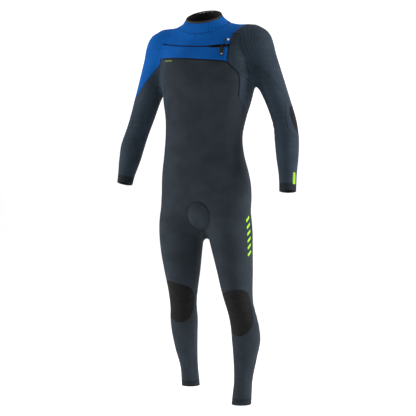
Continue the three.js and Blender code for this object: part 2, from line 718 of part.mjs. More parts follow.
// A profile carried along a list of frames, closed at both ends. A frame has a
// point, the way it faces and the way across.
function sweep(frames, profile) {
  const n = profile.length;
  const vertices = [];
  const faces = [];
  frames.forEach(({ at, face, across }) => {
    profile.forEach(([u, v]) => vertices.push(at.clone().addScaledVector(across, u).addScaledVector(face, v)));
  });
  for (let i = 0; i < frames.length - 1; i += 1) {
    for (let k = 0; k < n; k += 1) {
      const [a, b] = [i * n + k, i * n + (k + 1) % n];
      faces.push([a, b, b + n], [a, b + n, a + n]);
    }
  }
  const flat = THREE.ShapeUtils.triangulateShape(profile.map(([u, v]) => new THREE.Vector2(u, v)), []);
  const last = (frames.length - 1) * n;
  for (const [a, b, c] of flat) {
    faces.push([a, c, b], [last + a, last + b, last + c]);
  }
  const along = frames[1].at.clone().sub(frames[0].at);
  const turned = frames[0].across.clone().cross(frames[0].face).dot(along) < 0;
  return geometryFrom(vertices, turned ? faces.map(([a, b, c]) => [a, c, b]) : faces);
}

const rectangle = (u0, u1, v0, v1) => [[u0, v0], [u1, v0], [u1, v1], [u0, v1]];
const disc = (r, sides) => Array.from({ length: sides }, (_, k) => {
  const a = 2 * Math.PI * (k + 0.5) / sides;
  return [r * Math.cos(a), r * Math.sin(a)];
});

// Frames on the body along a list of points, for a strip that lies on it.
function surfaceFrames(route) {
  const on = route.map((p) => settle(p, 4));
  return on.map((at, i) => {
    const along = on[Math.min(i + 1, on.length - 1)].clone().sub(on[Math.max(i - 1, 0)]);
    const face = outward(at);
    const across = along.cross(face).normalize();
    return { at, face, across };
  });
}

const toSolid = (geometry) => {
  const bare = new THREE.BufferGeometry();
  bare.setAttribute('position', geometry.getAttribute('position').clone());
  if (geometry.index) bare.setIndex(geometry.index.clone());
  const merged = mergeVertices(bare, 1e-4);
  return new wasm.Manifold(new wasm.Mesh({
    numProp: 3, vertProperties: new Float32Array(merged.attributes.position.array),
    triVerts: new Uint32Array(merged.index.array),
  }));
};

function fused(...geometries) {
  const whole = geometries.map(toSolid).reduce((a, b) => a.add(b)).getMesh();
  const geometry = new THREE.BufferGeometry();
  geometry.setAttribute('position', new THREE.Float32BufferAttribute(whole.vertProperties, 3));
  geometry.setIndex([...whole.triVerts]);
  geometry.computeVertexNormals();
  return geometry;
}

const box = (x0, x1, y0, y1, z0, z1) => new THREE.BoxGeometry(x1 - x0, y1 - y0, z1 - z0)
  .translate((x0 + x1) / 2, (y0 + y1) / 2, (z0 + z1) / 2);

function roundedRectangle(x0, x1, y0, y1, r) {
  const s = new THREE.Shape();
  s.moveTo(x0 + r, y0);
  s.lineTo(x1 - r, y0);
  s.absarc(x1 - r, y0 + r, r, -Math.PI / 2, 0);
  s.lineTo(x1, y1 - r);
  s.absarc(x1 - r, y1 - r, r, 0, Math.PI / 2);
  s.lineTo(x0 + r, y1);
  s.absarc(x0 + r, y1 - r, r, Math.PI / 2, Math.PI);
  s.lineTo(x0, y0 + r);
  s.absarc(x0 + r, y0 + r, r, Math.PI, 1.5 * Math.PI);
  return s;
}

// ---------------------------------------------------------------- the zip
// The zip follows one circle, so that the slider can go along it: the circle
// through three points of the chest, in the plane of the zip.
function centreThrough(a, b, c) {
  const ab = b.clone().sub(a);
  const ac = c.clone().sub(a);
  const n = ab.clone().cross(ac);
  const to = ac.clone().cross(n).multiplyScalar(ab.lengthSq()).add(n.clone().cross(ab).multiplyScalar(ac.lengthSq()))
    .multiplyScalar(1 / (2 * n.lengthSq()));
  return a.clone().add(to);
}

function chestPoint(x) {
  const inPlane = V(0, 1, ZIP_PLANE.y).normalize();
  const start = V(x, 10, ZIP_PLANE.height + ZIP_PLANE.x * x + ZIP_PLANE.y * 10);
  return cast(start, inPlane.negate());
}

function zipPath() {
  const [x0, x1] = ZIP_ENDS;
  const mid = chestPoint((x0 + x1) / 2);
  const centre = centreThrough(chestPoint(x0 + 22), mid, chestPoint(x1 - 8));
  const sample = spread(x0, x1, 12).map(chestPoint);
  const reach = sample.map((p) => p.distanceTo(centre));
  const face = outward(mid);
  const lean = Math.atan2(face.dot(zipUp), face.dot(mid.clone().sub(centre).normalize()));
  const depth = TORSO_WALL + ZIP_FALL * ZIP_TAPE;
  const base = Math.min(...reach) - depth * Math.cos(lean);
  const drop = depth * Math.sin(lean);
  const angleOf = (x) => {
    const p = chestPoint(x).sub(centre);
    return Math.atan2(p.x, -p.y);
  };
  return { centre, base, drop, lean, angleOf };
}

// The frame of the zip at an angle about its circle: along, across and facing.
function zipFrame(path, angle) {
  const u = V(1, 0, 0).addScaledVector(zipUp, -zipUp.x).normalize();
  const v = zipUp.clone().cross(u).negate();
  const radial = v.clone().multiplyScalar(Math.cos(angle)).addScaledVector(u, Math.sin(angle));
  const face = radial.clone().multiplyScalar(Math.cos(path.lean)).addScaledVector(zipUp, Math.sin(path.lean));
  const across = zipUp.clone().multiplyScalar(Math.cos(path.lean)).addScaledVector(radial, -Math.sin(path.lean));
  const at = path.centre.clone().addScaledVector(radial, path.base).addScaledVector(zipUp, -path.drop);
  return { at, face, across, radial };
}

function zipFrames(path, x0, x1, pitch) {
  return spread(x0, x1, pitch).map((x) => zipFrame(path, path.angleOf(x)));
}

function teethProfile() {
  const { half, low, high } = TEETH;
  return [[-half, low], [half, low], [half, high - 0.7], [half - 0.7, high], [0.7 - half, high], [-half, high - 0.7]];
}

// The slider: a plate over the teeth, a flange on each side, and the bridge
// that the pull hangs on. Its X goes along the zip and its Z faces out.
function sliderGeometry() {
  const top = TEETH.high + 0.5;
  const plate = new THREE.ExtrudeGeometry(roundedRectangle(-8, 8, -4.5, 4.5, 2), { depth: 2.2, bevelEnabled: false, curveSegments: 3 })
    .translate(0, 0, top);
  const flange = TEETH.half + 0.5;
  const left = box(-6.5, 6.5, flange, 4.3, 0.5, top + 0.6);
  const right = box(-6.5, 6.5, -4.3, -flange, 0.5, top + 0.6);
  const bridge = new THREE.Shape();
  bridge.moveTo(-5.4, 0);
  bridge.lineTo(5.4, 0);
  bridge.lineTo(4.4, 6);
  bridge.lineTo(-4.4, 6);
  const window = new THREE.Path();
  window.moveTo(-3.4, 0.6);
  window.lineTo(-3, 4.4);
  window.lineTo(3, 4.4);
  window.lineTo(3.4, 0.6);
  bridge.holes.push(window);
  const arch = new THREE.ExtrudeGeometry(bridge, { depth: 1.6, bevelEnabled: false })
    .translate(0, 0, -0.8).rotateX(Math.PI / 2).translate(0, 0, top + 1.8);
  return fused(plate, left, right, arch);
}

const BRIDGE_BAR = TEETH.high + 0.5 + 1.8 + 5.2;

// The pull: an eye around the bar of the bridge, and a tab below it.
function pullGeometry() {
  const { wide, long, thick, eye, rim } = PULL;
  const ring = new THREE.Shape();
  ring.absarc(0, 0, eye + rim, 0, 2 * Math.PI);
  const hole = new THREE.Path();
  hole.absarc(0, 0, eye, 0, 2 * Math.PI, true);
  ring.holes.push(hole);
  const loop = new THREE.ExtrudeGeometry(ring, { depth: 4.4, bevelEnabled: false, curveSegments: 8 })
    .translate(0, 0, -2.2).rotateY(Math.PI / 2);
  const first = -(eye + rim) + 0.6;
  const stem = box(-2.1, 2.1, first - 5, first, -thick / 2, thick / 2);
  const tab = new THREE.ExtrudeGeometry(roundedRectangle(-wide / 2, wide / 2, first - long, first - 4, 3.5),
    { depth: thick, bevelEnabled: false, curveSegments: 5 }).translate(0, 0, -thick / 2);
  return fused(loop, stem, tab);
}

function placeIn(frame, geometryHolder) {
  const along = frame.across.clone().cross(frame.face);
  geometryHolder.matrix.makeBasis(along, frame.across, frame.face).setPosition(frame.at);
  geometryHolder.matrixAutoUpdate = false;
}

function buildZip() {
  const path = zipPath();
  const frames = zipFrames(path, ...ZIP_ENDS, 13);
  const edge = TEETH.half + 0.4;
  addMesh('zip_tape_upper', sweep(frames, rectangle(edge, edge + ZIP_TAPE, -1, 0)), 'tape');
  addMesh('zip_tape_lower', sweep(frames, rectangle(-edge - ZIP_TAPE, -edge, -1, 0)), 'tape');
  addMesh('zip_teeth', sweep(zipFrames(path, ZIP_ENDS[0] + 2, ZIP_ENDS[1] - 2, 13), teethProfile()), 'nylon');
  const seal = spread(ZIP_ENDS[0] + 8, ZIP_ENDS[1] - 4, 20).map(chestPoint);
  addMesh('inner_seal', stripOn(seal, 24, -TORSO_WALL - 11.5, -TORSO_WALL - 10), 'graphite');
  const stop = zipFrames(path, SLIDER_AT + 10, ZIP_ENDS[1] - 3, 4);
  addMesh('zip_stop', sweep(stop, [[-3.8, 2.4], [4.2, 2.4], [4.2, 5.4], [2.4, 7], [-2.2, 7], [-3.8, 5.4]]), 'nylon');
  const holder = new THREE.Group();
  placeIn(zipFrame(path, path.angleOf(SLIDER_AT)), holder);
  group.add(holder);
  addMesh('zip_slider', sliderGeometry(), 'steel', holder);
  const pull = addMesh('zip_pull', pullGeometry(), 'tape', holder);
  pull.position.set(0, 0, BRIDGE_BAR);
  pull.rotation.x = -rad(PULL.lean);   // its lower end stands off the chest
  return path;
}

// ---------------------------------------------------------------- trim
function seamTapeRoute() {
  const across = spread(-130, 112, 16).map((x) => cast(V(x, 0, tapeHeight(x)), V(0, -1, 0)));
  const corner = spread(118, 152, 12).map((x) => cast(V(x, 0, 1343 - x), V(0, -1, 0)));
  const down = spread(1172, 1100, 18).map((z) => cast(V(90, ramp(z, SIDE_SEAM), z), V(1, 0, 0)));
  return [...across, ...corner, ...down];
}

const stripOn = (route, half, low, high) => sweep(surfaceFrames(route), rectangle(-half, half, low, high));

// The elastic cord that holds the entry flap at the shoulder. It leaves the
// shoulder panel, turns in a small loop, runs straight through the cord lock
// and ends in a short tail. The last number of a point is its height over the
// neoprene.
const CORD_ROUTE = [
  [126, -42, 1336, 1], [133, -42, 1336, 2], [140, -42, 1331, 3], [142, -46, 1323, 4],
  [137, -51, 1315, 6], [129, -56, 1311, 6.6],
];
const CORD_RUN = [129, -56, 1311, 6.6, 105, -66, 1311, 6.6];
const CORD_TAIL = [[101, -68, 1309, 6.2], [101, -70, 1302, 4.6], [106, -71, 1295, 3.4], [113, -69, 1292, 3.2]];

const overNeoprene = ([x, y, z, lift]) => {
  const on = settle(V(x, y, z), 4);
  return on.addScaledVector(outward(on), lift);
};

function buildCord() {
  const from = overNeoprene(CORD_RUN.slice(0, 4));
  const to = overNeoprene(CORD_RUN.slice(4));
  const run = [0, 0.25, 0.5, 0.75, 1].map((t) => from.clone().lerp(to, t));
  const route = [...CORD_ROUTE.slice(0, -1).map(overNeoprene), ...run, ...CORD_TAIL.map(overNeoprene)];
  const curve = new THREE.CatmullRomCurve3(route);
  const section = new THREE.Shape(disc(CORD / 2, 8).map(([x, y]) => new THREE.Vector2(x, y)));
  addMesh('drawcord', new THREE.ExtrudeGeometry(section, { steps: 36, extrudePath: curve }), 'nylon');
  return { from, to };
}

// The cord lock: a ball with a hole through it, threaded on the straight run.
function buildLock({ from, to }) {
  const hole = CORD / 2 + 0.5;
  const edge = Math.acos(hole / BEAD);
  const arc = spread(-edge, edge, 0.3).map((a) => new THREE.Vector2(BEAD * Math.cos(a), BEAD * Math.sin(a)));
  const lock = addMesh('cord_lock', new THREE.LatheGeometry([...arc, arc[0].clone()], 18), 'steel');
  lock.quaternion.setFromUnitVectors(V(0, 1, 0), to.clone().sub(from).normalize());
  lock.position.copy(from.clone().lerp(to, 0.62));
}

function buildTrim() {
  addMesh('seam_tape', stripOn(seamTapeRoute(), 3.6, 0.35, 1), 'tape');
  const thigh = spread(662, 516, 24).map((z) => {
    const o = ovalAt(legs.left, z);
    return cast(V(o.x, o.y, z), around(284, V(1, 0, 0), V(0, 1, 0)));
  });
  addMesh('thigh_mark', stripOn(thigh, 7, 0.35, 0.95), 'lime');
  const chest = spread(-134, -90, 11).map((x) => cast(V(x, 0, tapeHeight(x) - 9), V(0, -1, 0)));
  addMesh('chest_mark', stripOn(chest, 2.5, 0.35, 0.9), 'lime');
  const wrist = spread(824, 782, 12).map((z) => {
    const o = ovalAt(arms.left, z);
    return cast(V(o.x, o.y, z), around(300, V(1, 0, 0), V(0, 1, 0)));
  });
  addMesh('wrist_label', stripOn(wrist, 7, 0.35, 1.2), 'lime');
}

// ---------------------------------------------------------------- assembly
buildCage();
relax(24);
cutPanels();
panels.forEach((tris, name) => {
  addMesh(name, panelGeometry(tris, onTrunk.test(name) ? TORSO_WALL : LIMB_WALL), LOOKS[name] || 'ribbed');
});
buildZip();
buildLock(buildCord());
buildTrim();

group.scale.setScalar(STATURE);
group.position.set(...NECK_MOUNT).multiplyScalar(-STATURE);

export default group;
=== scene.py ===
# %% [markdown]
# # A chest-zip wetsuit, panel by panel
#
# A wetsuit is cut from flat sheets of foam rubber with knitted nylon on both
# faces. The sheets are glued edge to edge and stitched, and the suit takes the
# shape of whoever wears it. This lesson builds it the same way: one smooth body
# first, then the seam lines drawn on it, then a panel between the seams with its
# own thickness, its rolled edges and its stitches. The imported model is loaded
# first, because every piece has to lie where its solid lies.

# %% Load the frame
import math

import bmesh
import bpy
import numpy as np
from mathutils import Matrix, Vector


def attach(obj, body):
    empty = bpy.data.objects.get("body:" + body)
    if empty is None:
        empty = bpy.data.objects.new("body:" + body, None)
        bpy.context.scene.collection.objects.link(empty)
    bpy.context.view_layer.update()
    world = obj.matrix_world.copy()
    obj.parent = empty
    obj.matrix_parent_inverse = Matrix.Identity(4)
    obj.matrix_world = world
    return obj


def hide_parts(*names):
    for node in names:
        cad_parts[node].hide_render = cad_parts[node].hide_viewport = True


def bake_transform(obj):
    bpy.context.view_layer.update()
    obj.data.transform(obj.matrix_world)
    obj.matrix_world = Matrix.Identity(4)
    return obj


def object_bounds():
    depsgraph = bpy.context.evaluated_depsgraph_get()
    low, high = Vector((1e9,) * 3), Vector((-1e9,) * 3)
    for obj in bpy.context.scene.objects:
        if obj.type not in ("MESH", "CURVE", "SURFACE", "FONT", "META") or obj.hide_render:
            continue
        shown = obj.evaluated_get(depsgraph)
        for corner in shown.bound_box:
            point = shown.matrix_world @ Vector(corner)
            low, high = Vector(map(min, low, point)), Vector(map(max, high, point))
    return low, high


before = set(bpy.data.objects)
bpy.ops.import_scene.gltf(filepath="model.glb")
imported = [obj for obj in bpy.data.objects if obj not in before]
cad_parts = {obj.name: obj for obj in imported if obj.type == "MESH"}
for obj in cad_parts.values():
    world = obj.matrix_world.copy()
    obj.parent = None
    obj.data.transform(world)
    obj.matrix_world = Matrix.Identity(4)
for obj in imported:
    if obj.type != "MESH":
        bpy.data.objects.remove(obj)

cad_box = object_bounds()

# %% [markdown]
# ## Units and the camera
#
# A pattern cutter thinks in millimetres above the floor, and Blender in metres
# from the neck, so shapes are worked out in millimetres and moved to the frame
# at the very end. The camera stands a little to the wearer's left, level with
# the hips, far away and with a long lens, as for a catalogue picture.

# %% Units, camera
MM = 0.001
NECK = np.array([2.0, -4.0, 1405.0])     # the origin of the frame, in millimetres


def to_frame(p):
    """Millimetres above the ankles to metres from the neck: (p - NECK) / 1000."""
    return (np.asarray(p, float) - NECK) * MM


def add_camera(place, look, lens):
    """A camera at a place (mm), level, looking along a direction."""
    data = bpy.data.cameras.new("camera")
    data.lens = lens
    data.sensor_width = 36
    camera = bpy.data.objects.new("camera", data)
    camera.location = to_frame(place)
    camera.rotation_euler = Vector(look).to_track_quat("-Z", "Y").to_euler()
    bpy.context.scene.collection.objects.link(camera)
    bpy.context.scene.camera = camera
    return camera


TURN = math.radians(20)
camera = add_camera((1380.3, -3754.3, 697.5), (-math.sin(TURN), math.cos(TURN), 0), 92.8)
print("camera at", [round(v, 3) for v in camera.location])

# %% [markdown]
# ## The body inside
#
# Each limb is a stack of ovals: a height, a middle, a half width and the reach
# to the front and to the back. A smooth curve goes through the ovals, and where
# two limbs meet, the lesser of their two distances is rounded off, as clay is
# smoothed with a thumb. The result is one distance that is negative inside the
# wearer and zero on the suit.

# %% Ovals of the limbs
TRUNK = np.array([
    [585, 6, 12, 20, 15, 20], [622, 6, 12, 80, 60, 72], [665, 6, 12, 134, 85, 100],
    [710, 5, 10, 163, 98, 114], [770, 4, 8, 170, 104, 114], [830, 1, 6, 164, 106, 104],
    [900, -3, 4, 151, 104, 94], [965, -3, 4, 146, 102, 90], [1030, 3, 7, 153, 106, 92],
    [1100, 8, 12, 168, 114, 100], [1170, 11, 16, 178, 120, 108], [1230, 10, 20, 178, 116, 112],
    [1280, 9, 22, 170, 104, 110], [1320, 8, 22, 150, 86, 98], [1348, 6, 18, 112, 70, 80],
    [1368, 4, 12, 70, 52, 58], [1385, 2, 10, 15, 15, 15]], float)
NECK_OVALS = np.array([
    [1280, 6, 22, 50, 46, 50], [1335, 4, 12, 64, 60, 62], [1380, 2, 4, 66, 64, 64],
    [1420, 1, -4, 64, 64, 62], [1480, 0, -16, 64, 64, 62]], float)
RIGHT_ARM = np.array([
    [740, -309, -58, 29, 30, 30], [810, -302, -42, 31, 33, 33], [880, -294, -22, 41, 42, 42],
    [940, -288, -4, 46, 46, 48], [990, -275, 8, 46, 45, 48], [1030, -262, 14, 47, 47, 48],
    [1100, -240, 18, 50, 52, 52], [1180, -214, 22, 55, 58, 60], [1250, -194, 24, 57, 60, 62],
    [1305, -180, 24, 57, 56, 60], [1345, -170, 24, 42, 40, 44], [1366, -165, 24, 10, 10, 10]], float)
LEFT_ARM = np.array([
    [700, 338, -60, 30, 33, 33], [810, 333, -40, 32, 35, 35], [880, 326, -20, 40, 42, 42],
    [940, 319, -2, 44, 46, 48], [990, 311, 10, 44, 45, 48], [1030, 300, 16, 45, 47, 48],
    [1100, 274, 20, 48, 52, 52], [1180, 240, 22, 56, 58, 60], [1250, 214, 24, 59, 60, 62],
    [1305, 196, 24, 58, 58, 62], [1345, 186, 24, 42, 40, 44], [1366, 180, 24, 10, 10, 10]], float)
RIGHT_LEG = np.array([
    [-40, -98, 118, 34, 37, 39], [16, -98, 113, 34, 37, 39], [90, -99, 98, 33, 36, 40],
    [160, -101, 74, 41, 43, 50], [230, -100, 52, 48, 49, 60], [280, -97, 38, 51, 51, 60],
    [320, -95, 30, 49, 53, 54], [350, -94, 24, 50, 56, 54], [400, -93, 18, 56, 62, 62],
    [460, -94, 14, 66, 72, 74], [540, -96, 10, 77, 80, 86], [620, -94, 8, 84, 86, 96],
    [690, -88, 8, 84, 86, 98], [760, -82, 8, 70, 70, 80]], float)
LEFT_LEG = np.array([
    [-60, 160, -58, 37, 40, 44], [20, 165, -54, 34, 37, 42], [70, 168, -50, 33, 36, 40],
    [150, 171, -38, 42, 42, 52], [215, 172, -30, 51, 48, 62], [270, 166, -28, 51, 50, 60],
    [310, 157, -28, 50, 54, 54], [350, 145, -26, 51, 58, 54], [400, 134, -20, 57, 64, 62],
    [460, 125, -14, 64, 72, 74], [540, 112, -8, 74, 80, 86], [620, 99, -2, 83, 86, 96],
    [690, 88, 2, 84, 86, 98], [760, 80, 4, 70, 70, 80]], float)
RIGHT_RIDGE = ((-40, 16, 1340), (-168, 26, 1308), 46, 53)   # from, to, two radii
LEFT_RIDGE = ((46, 16, 1342), (186, 26, 1308), 46, 56)


def limb(stack, power):
    """A stack, its slopes by the mean of the rises on both sides, and the power of its ovals."""
    rise = np.diff(stack[:, 1:], axis=0) / np.diff(stack[:, 0])[:, None]
    return stack, np.vstack([rise[:1], (rise[1:] + rise[:-1]) / 2, rise[-1:]]), power


trunk, neck = limb(TRUNK, 2.4), limb(NECK_OVALS, 2.0)
arms = {"right": limb(RIGHT_ARM, 2.0), "left": limb(LEFT_ARM, 2.0)}
legs = {"right": limb(RIGHT_LEG, 2.1), "left": limb(LEFT_LEG, 2.1)}


def oval_at(part, z):
    """The oval of a limb at heights z, by a Hermite cubic between the two nearest ovals."""
    stack, slope, _ = part
    inside = np.clip(z, stack[0, 0], stack[-1, 0])
    i = np.clip(np.searchsorted(stack[:, 0], inside, side="right") - 1, 0, len(stack) - 2)
    h = (stack[i + 1, 0] - stack[i, 0])[..., None]
    s = (inside - stack[i, 0])[..., None] / h
    a, b, ma, mb = stack[i, 1:], stack[i + 1, 1:], slope[i], slope[i + 1]
    value = ((2 * s**3 - 3 * s**2 + 1) * a + (s**3 - 2 * s**2 + s) * h * ma
             + (3 * s**2 - 2 * s**3) * b + (s**3 - s**2) * h * mb)
    change = ((6 * s**2 - 6 * s) * (a - b) / h + (3 * s**2 - 4 * s + 1) * ma + (3 * s**2 - 2 * s) * mb)
    return value, change, z - inside


def limb_distance(part, p):
    """About how far p is outside a limb: its reach less its reach over the oval's ratio."""
    o, change, over = oval_at(part, p[..., 2])
    dx, dy = p[..., 0] - o[..., 0], p[..., 1] - o[..., 1]
    depth = np.where(dy < 0, o[..., 3], o[..., 4])
    reach, n = np.hypot(dx, dy) + 1e-6, part[2]
    ratio = (np.abs(dx / o[..., 2])**n + np.abs(dy / depth)**n)**(1 / n) + 1e-6
    d = (reach - reach / ratio) / np.sqrt(1 + np.abs(change[..., 2:5]).mean(-1)**2)
    return np.where(over != 0, np.where(d > 0, np.hypot(d, over), np.abs(over)), d)


def rod_distance(p, start, end, r0, r1):
    """Distance to a rod with round ends whose radius goes from r0 to r1."""
    a = np.array(start, float)
    along = np.array(end, float) - a
    t = np.clip(((p - a) @ along) / (along @ along), 0, 1)
    return np.linalg.norm(p - a - t[..., None] * along, axis=-1) - (r0 + (r1 - r0) * t)


def melt(a, b, k):
    """The lesser of two distances, less k/4 times the square of how near they are to each other."""
    h = np.maximum(k - np.abs(a - b), 0) / k
    return np.minimum(a, b) - h * h * k / 4


def without_arms(p):
    d = melt(limb_distance(trunk, p), limb_distance(neck, p), 45)
    d = melt(d, rod_distance(p, *RIGHT_RIDGE), 50)
    d = melt(d, rod_distance(p, *LEFT_RIDGE), 50)
    return melt(d, melt(limb_distance(legs["right"], p), limb_distance(legs["left"], p), 16), 26)


def body(p):
    d = melt(without_arms(p), limb_distance(arms["right"], p), 36)
    return melt(d, limb_distance(arms["left"], p), 36)


# %% [markdown]
# ## Standing on the body
#
# The slope of that distance is the way out of the suit. Newton steps along it
# bring any point onto the surface, and a ray that is halved again and again
# finds where it leaves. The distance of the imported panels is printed, to show
# that both models lie on the same body.

# %% Slopes, settling and rays
def unit(v):
    return v / (np.linalg.norm(v, axis=-1, keepdims=True) + 1e-12)


def slope_of(p, field=body, h=0.5):
    """The gradient of a field by central differences, one axis at a time."""
    steps = np.eye(3) * h
    return np.stack([(field(p + e) - field(p - e)) / (2 * h) for e in steps], axis=-1)


def outward(p):
    return unit(slope_of(p))


def settle(p, turns=3, plane=None):
    """Newton's step onto the body, in each point's own plane where it has one."""
    q = np.array(p, float)
    for _ in range(turns):
        g = slope_of(q)
        if plane is not None:
            g = g - (g * plane).sum(-1, keepdims=True) * plane
        step = body(q) / ((g**2).sum(-1) + 1e-9)
        q -= g * np.clip(step, -25, 25)[..., None]
    return q


def cast(start, way, field=body):
    """Where rays from inside first leave a body: the first 6 mm step outside, then halved."""
    way = unit(np.atleast_2d(way))
    start = np.broadcast_to(np.asarray(start, float), way.shape)
    reach = np.arange(6.0, 408.0, 6.0)
    out = field(start[:, None] + way[:, None] * reach[None, :, None]) >= 0
    high = reach[np.argmax(out, axis=1)]
    low = high - 6
    for _ in range(16):
        mid = (low + high) / 2
        inside = field(start + way * mid[:, None]) < 0
        low, high = np.where(inside, mid, low), np.where(inside, high, mid)
    return start + way * high[:, None]


for node in ("front_body", "back_yoke", "left_forearm"):
    corners = np.array([v.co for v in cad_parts[node].data.vertices]) / MM + NECK
    print(node, "stands", np.round(np.percentile(body(corners), [5, 95]), 2), "mm off the body")

# %% [markdown]
# ## The cord at the shoulder
#
# A thin elastic cord holds the entry flap. It comes out of the shoulder panel,
# turns in a small loop, runs through its lock and ends under the mouth of the
# zip. Its length is fixed, so its route is settled before anything is dressed:
# a few given points, with their height over the neoprene, joined by one
# smooth curve.

# %% The cord
CORD = 3.2                    # diameter
CORD_ROUTE = np.array([
    [126, -42, 1336, 1], [133, -42, 1336, 2], [140, -42, 1331, 3], [142, -46, 1323, 4],
    [137, -51, 1315, 6]], float)
CORD_RUN = np.array([[129, -56, 1311, 6.6], [105, -66, 1311, 6.6]], float)
CORD_TAIL = np.array([[101, -68, 1309, 6.2], [101, -70, 1302, 4.6], [106, -71, 1295, 3.4],
                      [113, -69, 1292, 3.2]], float)


def over_neoprene(route):
    """Points of the body under a route, raised by the last number of each."""
    on = settle(route[:, :3], 4)
    return on + outward(on) * route[:, 3:]


def smooth_line(points, per_span=6):
    """A Catmull-Rom curve: each span is a cubic whose end slopes are half the chord of its neighbours."""
    ends = np.vstack([2 * points[0] - points[1], points, 2 * points[-1] - points[-2]])
    t = np.linspace(0, 1, per_span, endpoint=False)[:, None, None]
    a, b, c, d = ends[:-3], ends[1:-2], ends[2:-1], ends[3:]
    cubic = b + t * (c - a) / 2 + t**2 * (a - 2.5 * b + 2 * c - d / 2) + t**3 * (1.5 * (b - c) + (d - a) / 2)
    return np.vstack([cubic.transpose(1, 0, 2).reshape(-1, 3), points[-1:]])


def add_cord(name, line, diameter):
    """A curve of one open spline through the line, as thick as the cord."""
    data = bpy.data.curves.new(name, "CURVE")
    data.dimensions = "3D"
    data.bevel_depth = diameter / 2 * MM
    data.bevel_resolution = 4
    data.use_fill_caps = True
    spline = data.splines.new("POLY")
    spline.points.add(len(line) - 1)
    spline.points.foreach_set("co", np.column_stack([to_frame(line), np.ones(len(line))]).ravel())
    cord = bpy.data.objects.new(name, data)
    bpy.context.scene.collection.objects.link(cord)
    return cord


run_ends = over_neoprene(CORD_RUN)
run = run_ends[0] + (run_ends[1] - run_ends[0]) * np.linspace(0, 1, 5)[:, None]
cord_line = smooth_line(np.vstack([over_neoprene(CORD_ROUTE), run, over_neoprene(CORD_TAIL)]))
drawcord = add_cord("shoulder_drawcord", cord_line, CORD)

# %% [markdown]
# ## Studio
#
# The suit hangs over a pale floor that curves up into a wall, as a paper roll
# does in a studio. Two tall soft lights stand at the sides, so that the edges
# of every limb catch light and the middle stays dark, which is how black
# rubber shows its roundness. A weak light from the front fills the rest.

# %% Floor and lights
FLOOR_UNDER_FEET = 0.05
floor_z = cad_box[0][2] - FLOOR_UNDER_FEET


def paper_roll(half_wide=9.0, near=-2.0, far=5.0, bend=2.0, high=7.0):
    """A profile that runs along the floor, up a quarter circle and up the wall, carried across."""
    turn = np.linspace(0, np.pi / 2, 24)
    y = np.concatenate([[near], far - bend + bend * np.sin(turn), [far]])
    z = np.concatenate([[0], bend - bend * np.cos(turn), [high]]) + floor_z
    points = np.concatenate([np.column_stack([np.full(len(y), x), y, z]) for x in (-half_wide, half_wide)])
    n = len(y)
    i = np.arange(n - 1)
    mesh = bpy.data.meshes.new("paper_roll")
    mesh.from_pydata(points.tolist(), [], np.column_stack([i, i + n, i + n + 1, i + 1]).tolist())
    mesh.shade_smooth()
    paint = bpy.data.materials.new("paper")
    paint.use_nodes = True
    shader = paint.node_tree.nodes["Principled BSDF"].inputs
    for socket, value in (("Base Color", (0.9, 0.9, 0.9, 1)), ("Roughness", 0.9), ("Specular IOR Level", 0.1),
                          ("Emission Color", (1, 1, 1, 1)), ("Emission Strength", 0.55)):
        shader[socket].default_value = value
    mesh.materials.append(paint)
    floor = bpy.data.objects.new("paper_roll", mesh)
    bpy.context.scene.collection.objects.link(floor)
    return floor


def soft_light(name, place, target, size, power):
    """A rectangular light at a place (m) that looks at a target."""
    data = bpy.data.lights.new(name, "AREA")
    data.shape = "RECTANGLE"
    data.size, data.size_y = size
    data.energy = power
    light = bpy.data.objects.new(name, data)
    light.location = place
    light.rotation_euler = (Vector(target) - Vector(place)).to_track_quat("-Z", "Y").to_euler()
    bpy.context.scene.collection.objects.link(light)


paper = paper_roll()
middle = (0, 0, -0.7)
soft_light("left_strip", (-2.6, -1.0, -0.5), middle, (0.9, 2.6), 70)
soft_light("right_strip", (2.9, 0.2, -0.5), middle, (0.9, 2.6), 92)
soft_light("front_fill", (0.6, -3.6, 1.3), middle, (2.6, 1.6), 17)
soft_light("top", (0.2, 0.3, 2.0), middle, (2.0, 2.0), 22)
world = bpy.data.worlds.new("studio")
world.use_nodes = True
world.node_tree.nodes["Background"].inputs["Color"].default_value = (0.95, 0.97, 1.0, 1)
world.node_tree.nodes["Background"].inputs["Strength"].default_value = 0.2
bpy.context.scene.world = world
bpy.context.scene.view_settings.view_transform = "Standard"

# %% [markdown]
# ## Writing shader maths as maths
#
# A material is a small calculation at every point. One class stands for a
# number that changes over the surface, so a sum of two of them adds a Math
# node, and one method adds any other node from its type, its settings and the
# values of its sockets. Colours go through Mix nodes, because a Math node turns
# them grey.

# %% A value and a look
class Number:
    """A changing number: operators on it add Math nodes to its look."""

    def __init__(self, look, socket):
        self.look, self.socket = look, socket

    def maths(self, operation, *values):
        node = self.look.node("ShaderNodeMath", {"operation": operation}, dict(enumerate(values)))
        return Number(self.look, node.outputs[0])

    def __add__(self, other):
        return self.maths("ADD", self, other)

    def __sub__(self, other):
        return self.maths("SUBTRACT", self, other)

    def __rsub__(self, other):
        return self.maths("SUBTRACT", other, self)

    def __mul__(self, other):
        return self.maths("MULTIPLY", self, other)

    def __truediv__(self, other):
        return self.maths("DIVIDE", self, other)

    def __pow__(self, other):
        return self.maths("POWER", self, other)

    __radd__, __rmul__ = __add__, __mul__

    def wave(self, pitch):
        """0 to 1 and back over each pitch: half of one plus the sine of 2 pi x / pitch."""
        return self.maths("SINE", self * (2 * math.pi / pitch)) * 0.5 + 0.5

    def between(self, low, high):
        """0 below low, 1 above high, with a soft step between."""
        node = self.look.node("ShaderNodeMapRange", {"interpolation_type": "SMOOTHSTEP"},
                              {"Value": self, "From Min": low, "From Max": high})
        return Number(self.look, node.outputs[0])


